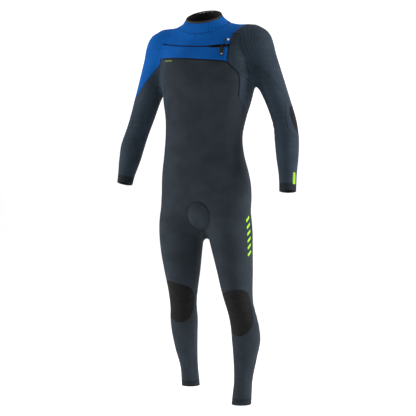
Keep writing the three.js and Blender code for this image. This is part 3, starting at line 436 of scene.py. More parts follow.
class Look:
    """A material being written: its tree, and the shader that ends it."""

    def __init__(self, name, **constants):
        self.material = bpy.data.materials.new(name)
        self.material.use_nodes = True
        self.tree = self.material.node_tree
        self.shader = self.tree.nodes["Principled BSDF"]
        for socket, value in constants.items():
            self.shader.inputs[socket.replace("_", " ")].default_value = value

    def node(self, kind, settings=None, sockets=None):
        node = self.tree.nodes.new(kind)
        for key, value in (settings or {}).items():
            setattr(node, key, value)
        for key, value in (sockets or {}).items():
            self.join(value, node.inputs[key])
        return node

    def join(self, value, socket):
        """Links a number or an output to a socket, or sets it to a constant."""
        value = value.socket if isinstance(value, Number) else value
        if isinstance(value, bpy.types.NodeSocket):
            self.tree.links.new(value, socket)
        else:
            socket.default_value = value

    def noise(self, place, scale, detail=3.0):
        node = self.node("ShaderNodeTexNoise", None, {"Vector": place, "Scale": scale, "Detail": detail})
        return Number(self, node.outputs["Fac"])

    def cells(self, place, scale):
        node = self.node("ShaderNodeTexVoronoi", None, {"Vector": place, "Scale": scale})
        return Number(self, node.outputs["Distance"])

    def mix(self, factor, a, b):
        node = self.node("ShaderNodeMix", {"data_type": "RGBA"})
        for key, value in zip((0, 6, 7), (factor, a, b)):
            self.join(value, node.inputs[key])
        return node.outputs[2]

    def bump(self, height, distance, strength=1.0):
        node = self.node("ShaderNodeBump", None, {"Height": height, "Distance": distance, "Strength": strength})
        return node.outputs["Normal"]

    def place(self):
        """The piece's own coordinates in metres."""
        return self.node("ShaderNodeTexCoord").outputs["Object"]

    def cloth(self):
        """Where a point is on the cloth, from the piece's attribute: around, along, and the painted shade of its
        folds.
        """
        vector = self.node("ShaderNodeAttribute", {"attribute_name": "cloth"}).outputs["Vector"]
        parts = self.node("ShaderNodeSeparateXYZ", None, {0: vector})
        return (vector, *[Number(self, out) for out in parts.outputs])

    def finish(self, **inputs):
        for socket, value in inputs.items():
            self.join(value, self.shader.inputs[socket.replace("_", " ")])
        return self.material


def colour(code, light=1.0):
    """A screen colour such as 'a0b1c2' as linear light: ((v + 0.055) / 1.055) to the power 2.4."""
    parts = [int(code[i:i + 2], 16) / 255 for i in (0, 2, 4)]
    return (*[(v / 12.92 if v < 0.04 else ((v + 0.055) / 1.055)**2.4) * light for v in parts], 1)


# %% [markdown]
# ## Knitted faces
#
# The nylon face of the foam is a fine knit: columns of little loops about a
# millimetre wide. On the sleeves, the shoulders and the chest the knit is
# quilted in ribs, which follow the cloth and not the room, so both patterns
# read the place on the cloth. The rib valleys are painted darker as painted
# shade, points in a fold are painted darker as painted shade too, the knit
# scatters light at a low angle, and a faint cloudiness keeps it from looking
# like paint.

# %% Jersey, smooth and ribbed
RIB_PITCH = 0.0085
KNIT_PITCH = 0.0011


def knit(around, along):
    """Loops of the knit: columns crossed by rows that lean to either side in turn."""
    column = around.wave(KNIT_PITCH)
    lean = (around * (0.5 / KNIT_PITCH)).maths("PINGPONG", around * (1 / KNIT_PITCH), 1.0)
    row = (along + lean * (KNIT_PITCH * 0.45)).wave(KNIT_PITCH * 0.8)
    return column * 0.6 + row * 0.4


def jersey(name, base, light, ribs, sheen=0.12, rough=0.7):
    """A knitted face: base and light are its dark and light colours, ribs how strongly the rib valleys are painted
    darker as painted shade.
    """
    look = Look(name, Sheen_Weight=sheen, Sheen_Roughness=0.5, Sheen_Tint=colour(light, 2.0), Specular_IOR_Level=0.1)
    where, around, along, shade = look.cloth()
    cloud = look.noise(where, 14.0, 4.0)
    loops = knit(around, along)
    grain = look.noise(where, 900.0, 1.0)
    tone = cloud.between(0.3, 0.7) * 0.5 + loops * 0.25 + grain * 0.25
    height = loops * 0.00012 + grain * 0.00008
    if ribs:
        broken = (along + cloud * 0.004).wave(0.021) * 0.35 + 0.65
        rib = around.wave(RIB_PITCH)
        # painted shade: the tone follows the rib wave, so the rib valleys are painted darker
        tone = tone * (1 - ribs) + rib * broken * ribs
        height = height + rib * broken * 0.0006
    tinted = look.mix(tone, colour(base), colour(light))
    # painted shade: points that lie deep in a fold are mixed towards near black
    shaded = look.mix(shade, tinted, colour("08090a"))
    return look.finish(Base_Color=shaded, Roughness=rough + grain * 0.12, Normal=look.bump(height, 1.0, 0.8))


def plush(name, base, light):
    """The warm inner face: a short pile in small squares."""
    look = Look(name, Sheen_Weight=0.2, Sheen_Roughness=0.6, Specular_IOR_Level=0.1)
    where, around, along, _ = look.cloth()
    grid = around.wave(0.004) * along.wave(0.004)
    pile = look.noise(where, 700.0, 2.0)
    tinted = look.mix(grid * 0.5 + pile * 0.5, colour(base), colour(light))
    return look.finish(Base_Color=tinted, Roughness=0.85 + pile * 0.1,
                       Normal=look.bump(grid * 0.0005 + pile * 0.0003, 1.0))


def foam(name, base, light):
    """The cut edge of the foam: a matt grey full of tiny cells."""
    look = Look(name, Specular_IOR_Level=0.1)
    bubbles = look.cells(look.place(), 2600.0)
    tinted = look.mix(bubbles.between(0.1, 0.6), colour(base), colour(light))
    return look.finish(Base_Color=tinted, Roughness=0.8 + bubbles * 0.1, Normal=look.bump(bubbles * 0.0001, 1.0))


def grit(name, base, light):
    """The knee print: rubber dots in a random scatter on black cloth, painted darker in folds as painted shade."""
    look = Look(name, Specular_IOR_Level=0.2)
    where, _, _, shade = look.cloth()
    dots = 1 - look.cells(where, 420.0).between(0.15, 0.45)
    patchy = look.noise(where, 60.0, 3.0).between(0.35, 0.65)
    tone = dots * (patchy * 0.6 + 0.4)
    tinted = look.mix(tone, colour(base), colour(light))
    # painted shade: points that lie deep in a fold are mixed towards black
    shaded = look.mix(shade, tinted, colour("050505"))
    return look.finish(Base_Color=shaded, Roughness=0.78 - dots * 0.2,
                       Normal=look.bump(dots * 0.0005 + patchy * 0.0002, 1.0))


def woven(name, base, light, pitch, rough=0.6, on_cloth=True):
    """A tape or a binding: two sets of threads that cross at a slant."""
    look = Look(name, Specular_IOR_Level=0.2)
    if on_cloth:
        _, around, along, _ = look.cloth()
    else:
        parts = look.node("ShaderNodeSeparateXYZ", None, {0: look.place()}).outputs
        around, along = Number(look, parts[0]), Number(look, parts[2])
    weave = (around + along).wave(pitch) * 0.5 + (around - along).wave(pitch) * 0.5
    tinted = look.mix(weave, colour(base), colour(light))
    return look.finish(Base_Color=tinted, Roughness=rough + weave * 0.15, Normal=look.bump(weave * 0.0002, 1.0))


def moulded(name, base, light, rough, metallic=0.0, scale=320.0, coat=0.0):
    """Plastic, rubber or metal: a fine skin with scuffs that change its gloss."""
    look = Look(name, Metallic=metallic, Coat_Weight=coat, Specular_IOR_Level=0.5 if metallic or coat else 0.15)
    where = look.place()
    skin = look.noise(where, scale, 3.0)
    scuff = look.noise(where, scale / 6, 4.0).between(0.45, 0.75)
    tinted = look.mix(skin * 0.6 + scuff * 0.4, colour(base), colour(light))
    return look.finish(Base_Color=tinted, Roughness=rough + scuff * 0.15, Normal=look.bump(skin * 0.00006, 1.0))


looks = {
    "blue": jersey("blue_jersey", "01468f", "0361b4", 0.35),
    "graphite": jersey("graphite_jersey", "21272d", "2f373e", 0.0),
    "ribbed": jersey("ribbed_jersey", "232c34", "37434f", 0.4),
    "pad": grit("pad_print", "090909", "242424"),
    "hem": jersey("hem_jersey", "1b2025", "262c32", 0.0),
    "lining": plush("plush_lining", "0c0c0d", "1f2021"),
    "foam": foam("foam_edge", "15171a", "25282c"),
    "binding": woven("neck_binding", "262321", "423e3a", 0.0016),
    "tape": moulded("liquid_tape", "07080a", "101316", 0.6, scale=500.0),
    "zip_tape": woven("zip_tape", "050506", "141517", 0.0010, on_cloth=False),
    "thread": woven("thread", "0b0d10", "1a1e22", 0.0008),
    "nylon": moulded("nylon", "08090a", "191a1c", 0.35, scale=900.0, coat=0.2),
    "webbing": woven("pull_rubber", "0a0b0c", "1d1e20", 0.0018, 0.5),
    "steel": moulded("steel", "9a9da2", "d5d7da", 0.28, 1.0, 700.0),
    "cord": woven("braid", "0a0a0b", "26272a", 0.0014, on_cloth=False),
    "lime": moulded("lime_print", "93ca1e", "a9dc34", 0.5, scale=800.0),
    "lime_dark": moulded("lime_shade", "6f9a18", "7fae20", 0.55, scale=800.0),
    "dark_steel": moulded("dark_steel", "1c1d1f", "3a3c3f", 0.35, 0.8, 700.0),
}
print(len(looks), "finishes")

# %% [markdown]
# ## A cage of squares
#
# Rings of points are laid around the trunk, the arms and the legs. The trunk's
# rings leave an armhole open on each side, and an arm's rings start from the
# points around that hole, so the squares run on without a break; the legs start
# from the lowest ring in the same way. The cage is evened out on the body, then
# every square is divided in four, twice.

# %% Sizes of the cage
CELL = 27
COLUMNS = 32
ARMHOLE = (7, 6)              # rows and columns that an armhole takes out
CROTCH = 6                    # columns between the legs
FORK, UNDERARM, SHOULDER = 680, 1150, 1310
KNEE = {"right": 345, "left": 315}
ELBOW = {"right": 1010, "left": 1005}
ANKLE = {"right": 14, "left": -14}
WRIST = {"right": 790, "left": 757}
UP = np.array([0.0, 0.0, 1.0])
RIM_FRONT, RIM_LEAN = 1383, 0.52
RIM_NORMAL = unit(np.array([0, -RIM_LEAN, 1.0]))

cage = {"points": [], "quads": [], "planes": [], "count": 0}


def add_ring(points, plane=(0, 0, 0)):
    """Puts a ring in the cage and gives its numbers; plane faces out of an open end."""
    cage["points"].append(points)
    cage["planes"].append(np.broadcast_to(np.array(plane, float), points.shape))
    cage["count"] += len(points)
    return np.arange(cage["count"] - len(points), cage["count"])


def sew(lower, upper, keep=True):
    quads = np.column_stack([lower, np.roll(lower, -1), np.roll(upper, -1), upper])
    cage["quads"].append(quads[np.broadcast_to(keep, len(quads))])


def ring_on(field, centre, normal, angles):
    """Rays from a centre at angles around a normal: 0 is the front, 90 the wearer's right."""
    u = unit(np.array([1.0, 0, 0]) - normal[0] * normal)
    v = np.cross(normal, u)
    turn = np.radians(angles)[:, None]
    return cast(centre, -np.sin(turn) * u - np.cos(turn) * v, field)


def spread(start, end, pitch):
    return np.linspace(start, end, max(1, round(abs(end - start) / pitch)) + 1)


def axis_point(part, z):
    o = oval_at(part, np.array([float(z)]))[0][0]
    return np.array([o[0], o[1], z])


def axis_way(part, z):
    return unit(axis_point(part, z + 10) - axis_point(part, z - 10))


def trunk_rings():
    """Level rings up to the shoulder, then rings that lean into the collar."""
    angles = 360 * np.arange(COLUMNS) / COLUMNS
    heights = np.concatenate([spread(FORK, UNDERARM, CELL), np.linspace(UNDERARM, SHOULDER, ARMHOLE[0] + 1)[1:]])
    rings = [ring_on(without_arms, axis_point(trunk, z), UP, angles) for z in heights]
    base = ring_on(without_arms, np.array([2, 2, 1372.0]), unit(np.array([0, -0.5, 1.0])), angles)
    top = ring_on(without_arms, np.array([1, -6, RIM_FRONT + RIM_LEAN * 58]), RIM_NORMAL, angles)
    rings += [rings[-1] + (base - rings[-1]) * t for t in (0.2, 0.4, 0.6, 0.8, 1)]
    rings.append((base + top) / 2)
    numbers = [add_ring(r) for r in rings] + [add_ring(top, RIM_NORMAL)]
    return np.array(numbers), len(spread(FORK, UNDERARM, CELL)) - 1


def armhole_loop(rings, row, side, to_front):
    """The points around an armhole, from under the arm by way of the front."""
    rows, half = ARMHOLE[0], ARMHOLE[1] // 2
    across = side + to_front * np.arange(-half, half + 1)
    low, high = rings[row, across], rings[row + rows, across]
    front, back = rings[row:row + rows + 1, across[-1]], rings[row:row + rows + 1, across[0]]
    return np.concatenate([low[half:-1], front[:-1], high[:0:-1], back[:0:-1], low[:half]])


def grow(loop, targets, steps, plane):
    """Rings from a loop to the first target in even steps, then one ring for each target."""
    start, below = np.concatenate(cage["points"])[loop], loop
    rings = [start + (targets[0] - start) * t for t in np.linspace(0, 1, steps + 1)[1:]] + targets[1:]
    for k, ring in enumerate(rings):
        above = add_ring(ring, plane if k == len(rings) - 1 else (0, 0, 0))
        sew(below, above)
        below = above


def grow_arm(loop, side, first, turn):
    part = arms[side]
    angles = first + turn * 360 * np.arange(len(loop)) / len(loop)
    field = lambda p: limb_distance(part, p)
    targets = [ring_on(field, axis_point(part, z), axis_way(part, z), angles)
               for z in spread(1100, WRIST[side], CELL)]
    grow(loop, targets, 7, -axis_way(part, WRIST[side]))


def grow_leg(loop, side, first):
    part = legs[side]
    angles = first + 360 * np.arange(len(loop)) / len(loop)
    field = lambda p: limb_distance(part, p)
    targets = [ring_on(field, axis_point(part, z), UP, angles) for z in spread(500, ANKLE[side], CELL)]
    grow(loop, targets, 7, -UP)


def build_cage():
    rings, first_arm = trunk_rings()
    quarter, half = COLUMNS // 4, COLUMNS // 2
    columns = np.arange(COLUMNS)
    offset = np.minimum(np.abs(columns + 0.5 - quarter), np.abs(columns + 0.5 - 3 * quarter))
    for r in range(len(rings) - 1):
        hole = first_arm <= r < first_arm + ARMHOLE[0]
        sew(rings[r], rings[r + 1], offset > ARMHOLE[1] / 2 if hole else True)
    grow_arm(armhole_loop(rings, first_arm, quarter, -1), "right", 270, 1)
    grow_arm(armhole_loop(rings, first_arm, 3 * quarter, 1), "left", 90, -1)
    t = np.linspace(0, 1, CROTCH + 1)[1:-1]
    saddle = np.column_stack([np.full(len(t), 6.0), -75 + 170 * t, 606 + 90 * (t - 0.5)**2])
    under, low = add_ring(saddle), rings[0]
    lean = 180 * CROTCH / (half + CROTCH)
    grow_leg(np.concatenate([low[:half + 1], under[::-1]]), "right", -90 + lean)
    grow_leg(np.concatenate([low[half:], low[:1], under]), "left", 90 + lean)
    squares = np.concatenate(cage["quads"])
    used, numbers = np.unique(squares, return_inverse=True)
    return np.concatenate(cage["points"])[used], numbers.reshape(-1, 4), np.concatenate(cage["planes"])[used]


def relax(points, quads, planes, turns, share):
    """Moves each free point a share of the way to the mean of its neighbours, and back on the body."""
    edges = np.unique(np.sort(np.stack([quads, np.roll(quads, -1, 1)], -1).reshape(-1, 2), 1), axis=0)
    ends = np.concatenate([edges, edges[:, ::-1]])
    near = np.bincount(ends[:, 0], minlength=len(points))[:, None]
    free = ~planes.any(1)
    for _ in range(turns):
        total = np.stack([np.bincount(ends[:, 0], points[ends[:, 1], k], len(points)) for k in range(3)], 1)
        moved = points + (total / near - points) * share
        points = np.where(free[:, None], settle(moved, 1), points)
    return points


def quarter_squares(points, quads, planes):
    """Divides each square in four by the middles of its edges and its own middle."""
    edges = np.sort(np.stack([quads, np.roll(quads, -1, 1)], -1).reshape(-1, 2), 1)
    single, back, uses = np.unique(edges, axis=0, return_inverse=True, return_counts=True)
    e = back.reshape(-1, 4) + len(points)
    c = np.arange(len(quads)) + len(points) + len(single)
    edge_plane = np.where((uses == 1)[:, None], planes[single[:, 0]], 0.0)
    points = np.concatenate([points, points[single].mean(1), points[quads].mean(1)])
    planes = np.concatenate([planes, edge_plane, np.zeros((len(quads), 3))])
    quads = np.concatenate([np.column_stack([quads[:, k], e[:, k], c, e[:, k - 1]]) for k in range(4)])
    return settle(points, 2, planes), quads, planes


points, quads, planes = build_cage()
points = relax(points, quads, planes, 24, 0.6)
for turns in (4, 3):
    points, quads, planes = quarter_squares(points, quads, planes)
    points = relax(points, quads, planes, turns, 0.5)
print(len(quads), "squares, furthest", round(float(np.abs(body(points)).max()), 3), "mm off the body")

# %% [markdown]
# ## Drawing the seams
#
# A seam is drawn as a rule that is zero on the line and has a sign on each side
# of it. Cutting a patch along a rule moves the nearest points onto the line,
# splits the triangles that the line crosses and sorts the rest by sign, so one
# line after another divides the suit into its panels, and every panel's edge
# lies point for point on its neighbour's.

# %% Cutting along a rule
SNAP, TOUCH = 1.2, 0.6        # how near a free point, or one on another seam, is taken onto a line

skin = {"points": points, "planes": planes, "pinned": np.zeros(len(points), bool)}


def triangles_of(quads, points):
    """Two triangles for each square, by its shorter diagonal, with their faces out."""
    a, b, c, d = quads.T
    short = np.linalg.norm(points[a] - points[c], axis=1) < np.linalg.norm(points[b] - points[d], axis=1)
    first = np.where(short[:, None], np.column_stack([a, b, c]), np.column_stack([a, b, d]))
    second = np.where(short[:, None], np.column_stack([a, c, d]), np.column_stack([b, c, d]))
    tris = np.concatenate([first, second])
    corner = points[tris]
    normal = np.cross(corner[:, 1] - corner[:, 0], corner[:, 2] - corner[:, 0])
    inward = (normal * outward(corner.mean(1))).sum(1) < 0
    tris[inward] = tris[inward][:, ::-1]
    return tris


def slide_onto(p, side):
    """Newton's step onto a seam along the surface; gives the points and which of them got there."""
    q, good = p.copy(), np.ones(len(p), bool)
    for _ in range(3):
        n, g = outward(q), slope_of(q, side)
        g -= (g * n).sum(1, keepdims=True) * n
        size = (g**2).sum(1)
        good &= size > 0.05
        q -= g * np.clip(side(q) / np.maximum(size, 0.05), -3, 3)[:, None]
        q = settle(q, 1)
    return q, good


def add_points(new, plane):
    start = len(skin["points"])
    skin["points"] = np.concatenate([skin["points"], new])
    skin["planes"] = np.concatenate([skin["planes"], plane])
    skin["pinned"] = np.concatenate([skin["pinned"], np.ones(len(new), bool)])
    return np.arange(start, len(skin["points"]))


def signs_along(tris, side):
    """The rule's value at every point, zero at the points that are taken onto the line."""
    used = np.unique(tris)
    value = np.zeros(len(skin["points"]))
    value[used] = side(skin["points"][used])
    held = skin["pinned"] | skin["planes"].any(1)
    free = used[(np.abs(value[used]) < SNAP) & ~held[used]]
    if len(free):
        moved, good = slide_onto(skin["points"][free], side)
        free, moved = free[good], moved[good]
        skin["points"][free] = moved
        skin["pinned"][free] = True
        value[free] = 0
    value[used[(np.abs(value[used]) < TOUCH) & held[used]]] = 0
    return value


def divide(tris, side):
    """Cuts a patch where the rule is zero: the part above the line, and the part below it."""
    value = signs_along(tris, side)
    sign = np.sign(value)[tris]
    above = (sign >= 0).all(1) & (sign > 0).any(1)
    below = (sign <= 0).all(1) & (sign < 0).any(1)
    level = (sign == 0).all(1)
    on_line = tris[level]
    high = side(skin["points"][on_line].mean(1)) > 0 if len(on_line) else np.zeros(0, bool)
    t, s = tris[~(above | below | level)], sign[~(above | below | level)]
    on = (s == 0).any(1)
    odd = np.where(on, np.argmax(s == 0, 1), np.argmax(s == -np.sign(s.sum(1, keepdims=True)), 1))
    order = (odd[:, None] + np.arange(3)) % 3
    t, s = np.take_along_axis(t, order, 1), np.take_along_axis(s, order, 1)
    lone, split, s_lone, s_split = t[~on], t[on], s[~on], s[on]
    pairs = np.sort(np.concatenate([lone[:, [0, 1]], lone[:, [0, 2]], split[:, [1, 2]]]), 1)
    single, back = np.unique(pairs, axis=0, return_inverse=True)
    a, b = single.T
    share = (value[a] / (value[a] - value[b]))[:, None]
    both = (skin["planes"][a].any(1) & skin["planes"][b].any(1))[:, None]
    plane = np.where(both, skin["planes"][a], 0.0)
    place = skin["points"][a] + (skin["points"][b] - skin["points"][a]) * share
    made = add_points(settle(place, 2, plane), plane)[back.reshape(-1)]
    m01, m02, m12 = np.split(made, [len(lone), 2 * len(lone)])
    new = np.concatenate([
        np.column_stack([lone[:, 0], m01, m02]), np.column_stack([m01, lone[:, 1], lone[:, 2]]),
        np.column_stack([m01, lone[:, 2], m02]), np.column_stack([split[:, 0], split[:, 1], m12]),
        np.column_stack([split[:, 0], m12, split[:, 2]])])
    side_of = np.concatenate([s_lone[:, 0], -s_lone[:, 0], -s_lone[:, 0], s_split[:, 1], s_split[:, 2]])
    return (np.concatenate([tris[above], on_line[high], new[side_of > 0]]),
            np.concatenate([tris[below], on_line[~high], new[side_of < 0]]))


panels = {}


def cut(source, side, above, below):
    """Takes a part out of one patch and gives both parts their names."""
    high, low = divide(panels.pop(source), side)
    panels[above], panels[below] = high, low


def join(name, *parts):
    together = np.concatenate([panels.pop(part) for part in parts])
    panels[name] = together


# %% [markdown]
# ## The seams of this suit
#
# The lines follow how such a suit is cut: a collar, a yoke and a band on each
# side of the chest zip, a shoulder that runs over the arm in one piece, an
# under sleeve and a side panel, one front from the chest to the knees, pads on
# the knees and the elbows, and a seam along the inside of each leg. The closure
# leans over the left collarbone.

# %% Seam rules
CUFF, HEM, BINDING = 24, 22, 5
KNEE_ZONE, ELBOW_ZONE = 92, 66
KNEE_PAD = {"up": 84, "down": 82, "angle": 74}
ELBOW_PATCH = {"up": 58, "down": 58, "angle": 58}
CODPIECE = {"x": 5, "z": 668, "half": 44, "tall": 51}
SIDE_SEAM = np.array([[700, 22], [1000, 30], [1055, -6], [1097, -57], [1187, -65], [1260, -62]])
SIDE_BACK = np.array([[990, 32], [1010, 42], [1100, 66], [1240, 84]])
CAP_LINE = np.array([[150, 1240], [178, 1226], [206, 1214], [240, 1193], [276, 1160], [310, 1112], [330, 1060]])
ZIP_ENDS = (-130, 110)
ZIP_SLOPE = np.array([0.047, -0.323, 1.0])
ZIP_UP = unit(ZIP_SLOPE)


def step(v, low, high):
    t = np.clip((v - low) / (high - low), 0, 1)
    return t * t * (3 - 2 * t)


def collar_rule(p):
    near = (p[:, 2] > 1330) & (np.abs(p[:, 0]) < 120)
    return np.where(near, p[:, 2] - (1338 + 0.5 * (p[:, 1] + 66) + 0.0015 * p[:, 0]**2), -50)


def binding_rule(p):
    return (p[:, 2] - (RIM_FRONT + RIM_LEAN * (p[:, 1] + 64))) * RIM_NORMAL[2] + BINDING


def tape_height(x):
    return 1240 - 0.1 * x


def yoke_rule(p):
    return np.maximum(p[:, 2] - tape_height(p[:, 0]), (p[:, 0] + p[:, 2] - 1343) * 0.707)


def right_arm_rule(p):
    return -p[:, 0] - (150 + 0.2 * (1310 - p[:, 2]))


def left_arm_rule(p):
    edge = np.maximum(0.39 * (1310 - np.maximum(p[:, 2], 1146)), 0.5 * (p[:, 2] - 1310))
    return np.minimum(p[:, 0] - 141 - edge, p[:, 2] - 700)


def closure_x(z):
    return 118 + 0.27 * np.maximum(0, z - 1287) + 0.45 * np.maximum(0, z - 1330)


def closure_rule(p):
    return p[:, 0] - closure_x(p[:, 2])


def right_cap_rule(p):
    return (p[:, 2] - 1236 - 1.118 * (p[:, 0] + 165)) * 0.667


def left_cap_rule(p):
    return (p[:, 2] - np.interp(p[:, 0], *CAP_LINE.T)) * 0.75


def zip_rule(p):
    """Height over the plane that the zip lies in."""
    return (p @ ZIP_SLOPE - 1315) / np.linalg.norm(ZIP_SLOPE)


def slot_half(x):
    """Half the width of the slot: narrow at the closed end, wide enough for the slider at the open one."""
    return 1.4 + 3.2 * step(x, 24, 82)


def front_rule(p):
    """In front of the seam between front and back, which goes over to each leg's own seam below the hips."""
    right = (p[:, 0] < 6)[:, None]
    o = np.where(right, oval_at(legs["right"], p[:, 2])[0], oval_at(legs["left"], p[:, 2])[0])
    inner = np.where(right[:, 0], 1, -1)
    low = o[:, 1] - 3 - 0.45 * (p[:, 0] - o[:, 0]) * inner
    mixed = step(p[:, 2], 690, 780)
    return low * (1 - mixed) + np.interp(p[:, 2], *SIDE_SEAM.T) * mixed - p[:, 1]


def along_limb(part, z):
    centre, way = axis_point(part, z), axis_way(part, z)
    return lambda p: (p - centre) @ way


def pad_rule(part, bend, pad, faces, slant=0.0):
    """A rounded outline: a power mean of the angle about the limb and the distance along it, which a slant turns."""
    along = along_limb(part, bend)

    def rule(p):
        o = oval_at(part, p[:, 2])[0]
        a = np.degrees(np.arctan2(-(p[:, 0] - o[:, 0]), -(p[:, 1] - o[:, 1])))
        off = ((a - faces + 540) % 360 - 180) / pad["angle"]
        s = along(p)
        s = s - slant * off * step(s, -10.0, 50.0)
        off = np.abs(off)
        n = np.where(s > 0, 3.0, 1.8)
        return (1 - (off**n + np.abs(s / np.where(s > 0, pad["up"], pad["down"]))**n)**(1 / n)) * 60
    return rule


def codpiece_rule(p):
    r = np.hypot((p[:, 0] - CODPIECE["x"]) / CODPIECE["half"], (p[:, 2] - CODPIECE["z"]) / CODPIECE["tall"])
    return np.minimum((1 - r) * 46, 10 - p[:, 1])


# %% Cutting the panels
def cut_arm(side, faces):
    part = arms[side]
    bend, end = along_limb(part, ELBOW[side]), along_limb(part, WRIST[side])
    cut(f"{side}_arm", lambda p: bend(p) - ELBOW_ZONE, f"{side}_upper_arm", "below")
    cut("below", lambda p: bend(p) + ELBOW_ZONE, "zone", "rest")
    cut("zone", pad_rule(part, ELBOW[side], ELBOW_PATCH, faces), f"{side}_elbow_patch", f"{side}_elbow_sleeve")
    cut("rest", lambda p: end(p) - CUFF, f"{side}_forearm", f"{side}_cuff")


def cut_leg(side):
    part = legs[side]
    bend = along_limb(part, KNEE[side])
    cut(f"{side}_leg", lambda p: bend(p) - KNEE_ZONE, f"{side}_thigh", "below")
    cut("below", lambda p: bend(p) + KNEE_ZONE, "zone", "rest")
    pad, slant = (dict(KNEE_PAD, down=70), 18) if side == "right" else (KNEE_PAD, 6)
    cut("zone", pad_rule(part, KNEE[side], pad, 0, slant), f"{side}_knee_pad", f"{side}_knee_back")
    cut("rest", lambda p: p[:, 2] - ANKLE[side] - HEM, "shin", f"{side}_ankle_hem")
    cut("shin", front_rule, f"{side}_shin", f"{side}_calf")
    cut(f"{side}_thigh", front_rule, f"{side}_front", f"{side}_thigh_back")


panels["suit"] = triangles_of(quads, points)
cut("suit", collar_rule, "neck", "suit")
cut("neck", binding_rule, "collar_binding", "collar")
cut("suit", right_arm_rule, "right_arm", "suit")
cut("suit", left_arm_rule, "left_arm", "suit")
cut_arm("right", 135)
cut_arm("left", 250)
cut("right_upper_arm", right_cap_rule, "right_sleeve_cap", "right_under_sleeve")
cut("left_upper_arm", left_cap_rule, "left_cap", "left_under_sleeve")
cut("suit", yoke_rule, "yoke", "trunk")
cut("yoke", closure_rule, "left_shoulder", "yoke")
join("left_shoulder", "left_shoulder", "left_cap")
cut("yoke", lambda p: 26 - p[:, 1], "chest", "back_yoke")
cut("chest", lambda p: zip_rule(p) - slot_half(p[:, 0]), "chest_yoke", "low_chest")
cut("low_chest", lambda p: zip_rule(p) + slot_half(p[:, 0]), "slot", "chest_band")
panels.pop("slot")
cut("trunk", lambda p: p[:, 2] - 640, "trunk", "both_legs")
cut("both_legs", lambda p: 6 - p[:, 0], "right_leg", "left_leg")
cut_leg("right")
cut_leg("left")
cut("trunk", front_rule, "trunk_front", "trunk_back")
join("front_body", "trunk_front", "right_front", "left_front")
cut("front_body", codpiece_rule, "codpiece", "front_body")
cut("trunk_back", lambda p: np.where(p[:, 2] > 985, np.minimum(np.interp(p[:, 2], *SIDE_BACK.T) - p[:, 1],
                                                               (p[:, 2] - 985) * 2), -30), "sides", "back")
cut("sides", lambda p: 6 - p[:, 0], "right_side_panel", "left_side_panel")
cut("back", lambda p: p[:, 2] - 965 - 0.12 * np.abs(p[:, 0] - 4), "upper_back", "seat")
print(len(panels), "panels of", sum(len(t) for t in panels.values()), "triangles")

# %% [markdown]
# ## Bulges, folds and thickness
#
# The rubber isn't quite as smooth as the body: the codpiece is moulded as a
# bowl, and where a limb bends the cloth gathers in shallow folds. Each of
# these is a height over the body, so they can simply be added up. A panel's
# normals come from the whole suit, so that a join that the eye shouldn't see
# doesn't show.

# %% Heights over the body
def groove(p, start, end, wide, deep):
    """A fold: deep at a line from start to end, fading as a bell curve of the distance over wide."""
    a, b = np.array(start, float), np.array(end, float)
    t = np.clip(((p - a) @ (b - a)) / ((b - a) @ (b - a)), 0, 1)
    off = np.linalg.norm(p - a - t[:, None] * (b - a), axis=1)
    return -deep * np.exp(-(off / wide)**2) * (0.35 + 0.65 * np.sin(np.pi * np.clip(t, 0.12, 0.88)))


def bowl(p):
    """The codpiece: a dome of height (1 - r squared), its top drawn to one side, with a lip around it."""
    x = (p[:, 0] - CODPIECE["x"]) / CODPIECE["half"]
    z = (p[:, 2] - CODPIECE["z"]) / CODPIECE["tall"]
    r = np.hypot(x, z)
    front = step(10 - p[:, 1], 0, 20)
    dome = 13 * np.clip(1 - r**2, 0, 1)**0.8 * (1 - 0.25 * x + 0.1 * z)
    return front * (dome - 1.6 * np.exp(-((r - 1.0) / 0.06)**2))


def gathers(p, part, bend, back, pitch, deep, reach):
    """Folds across the hollow side of a bend: a wave along the limb, faded by reach and by direction."""
    o = oval_at(part, p[:, 2])[0]
    side = unit(p[:, :2] - o[:, :2]) @ np.array(back, float)
    s = along_limb(part, bend)(p)
    wave = np.sin(2 * np.pi * s / pitch + 1.7 * side) + 0.5 * np.sin(2 * np.pi * s / (pitch * 0.61))
    near = np.abs(p[:, 0] - o[:, 0]) < 90
    return deep * wave * step(side, 0.0, 0.9) * np.exp(-(s / reach)**2) * near


FOLDS = (
    ((172, -50, 1240), (190, -38, 1184), 5.0, 10.0), ((190, -38, 1184), (204, -16, 1146), 6.0, 9.0),
    ((-158, -50, 1228), (-172, -42, 1180), 6.0, 5.0), ((-172, -42, 1180), (-184, -18, 1140), 7.0, 5.0),
    ((184, 66, 1215), (204, 56, 1150), 8.0, 5.0), ((-162, 72, 1215), (-182, 60, 1145), 8.0, 5.0),
    ((-30, -84, 636), (34, -84, 634), 7.0, 2.0), ((60, 96, 628), (120, 84, 612), 9.0, 2.5),
    ((-50, 96, 628), (-110, 84, 612), 9.0, 2.5),
)


def height(p):
    """Everything that stands over the body or is pressed into it, in millimetres."""
    h = bowl(p)
    for fold in FOLDS:
        h = h + groove(p, *fold)
    for side, inner in (("right", 1), ("left", -1)):
        h = h + gathers(p, legs[side], KNEE[side], (0, 1), 30, 1.0, 62) * (p[:, 2] < 500)
        h = h + gathers(p, arms[side], ELBOW[side], (0.4 * inner, -0.9), 26, 0.8, 46) * (np.abs(p[:, 0]) > 220)
    return h


def raised(p, extra=0.0):
    """A point of the body moved out by its height and a little more."""
    return p + outward(p) * (height(p) + extra)[:, None]


base = skin["points"]
body_normal = outward(base)
skin_point = base + body_normal * height(base)[:, None]


def point_normals(tris, place):
    """The mean of the faces around each point, by their areas."""
    corner = place[tris]
    face = np.cross(corner[:, 1] - corner[:, 0], corner[:, 2] - corner[:, 0])
    total = [np.bincount(tris.ravel(), np.repeat(face[:, k], 3), len(place)) for k in range(3)]
    return unit(np.stack(total, 1))


all_tris = np.concatenate(list(panels.values()))
skin_normal = point_normals(all_tris, skin_point)
print("heights from", round(float(height(base).min()), 1), "to", round(float(height(base).max()), 1), "mm")
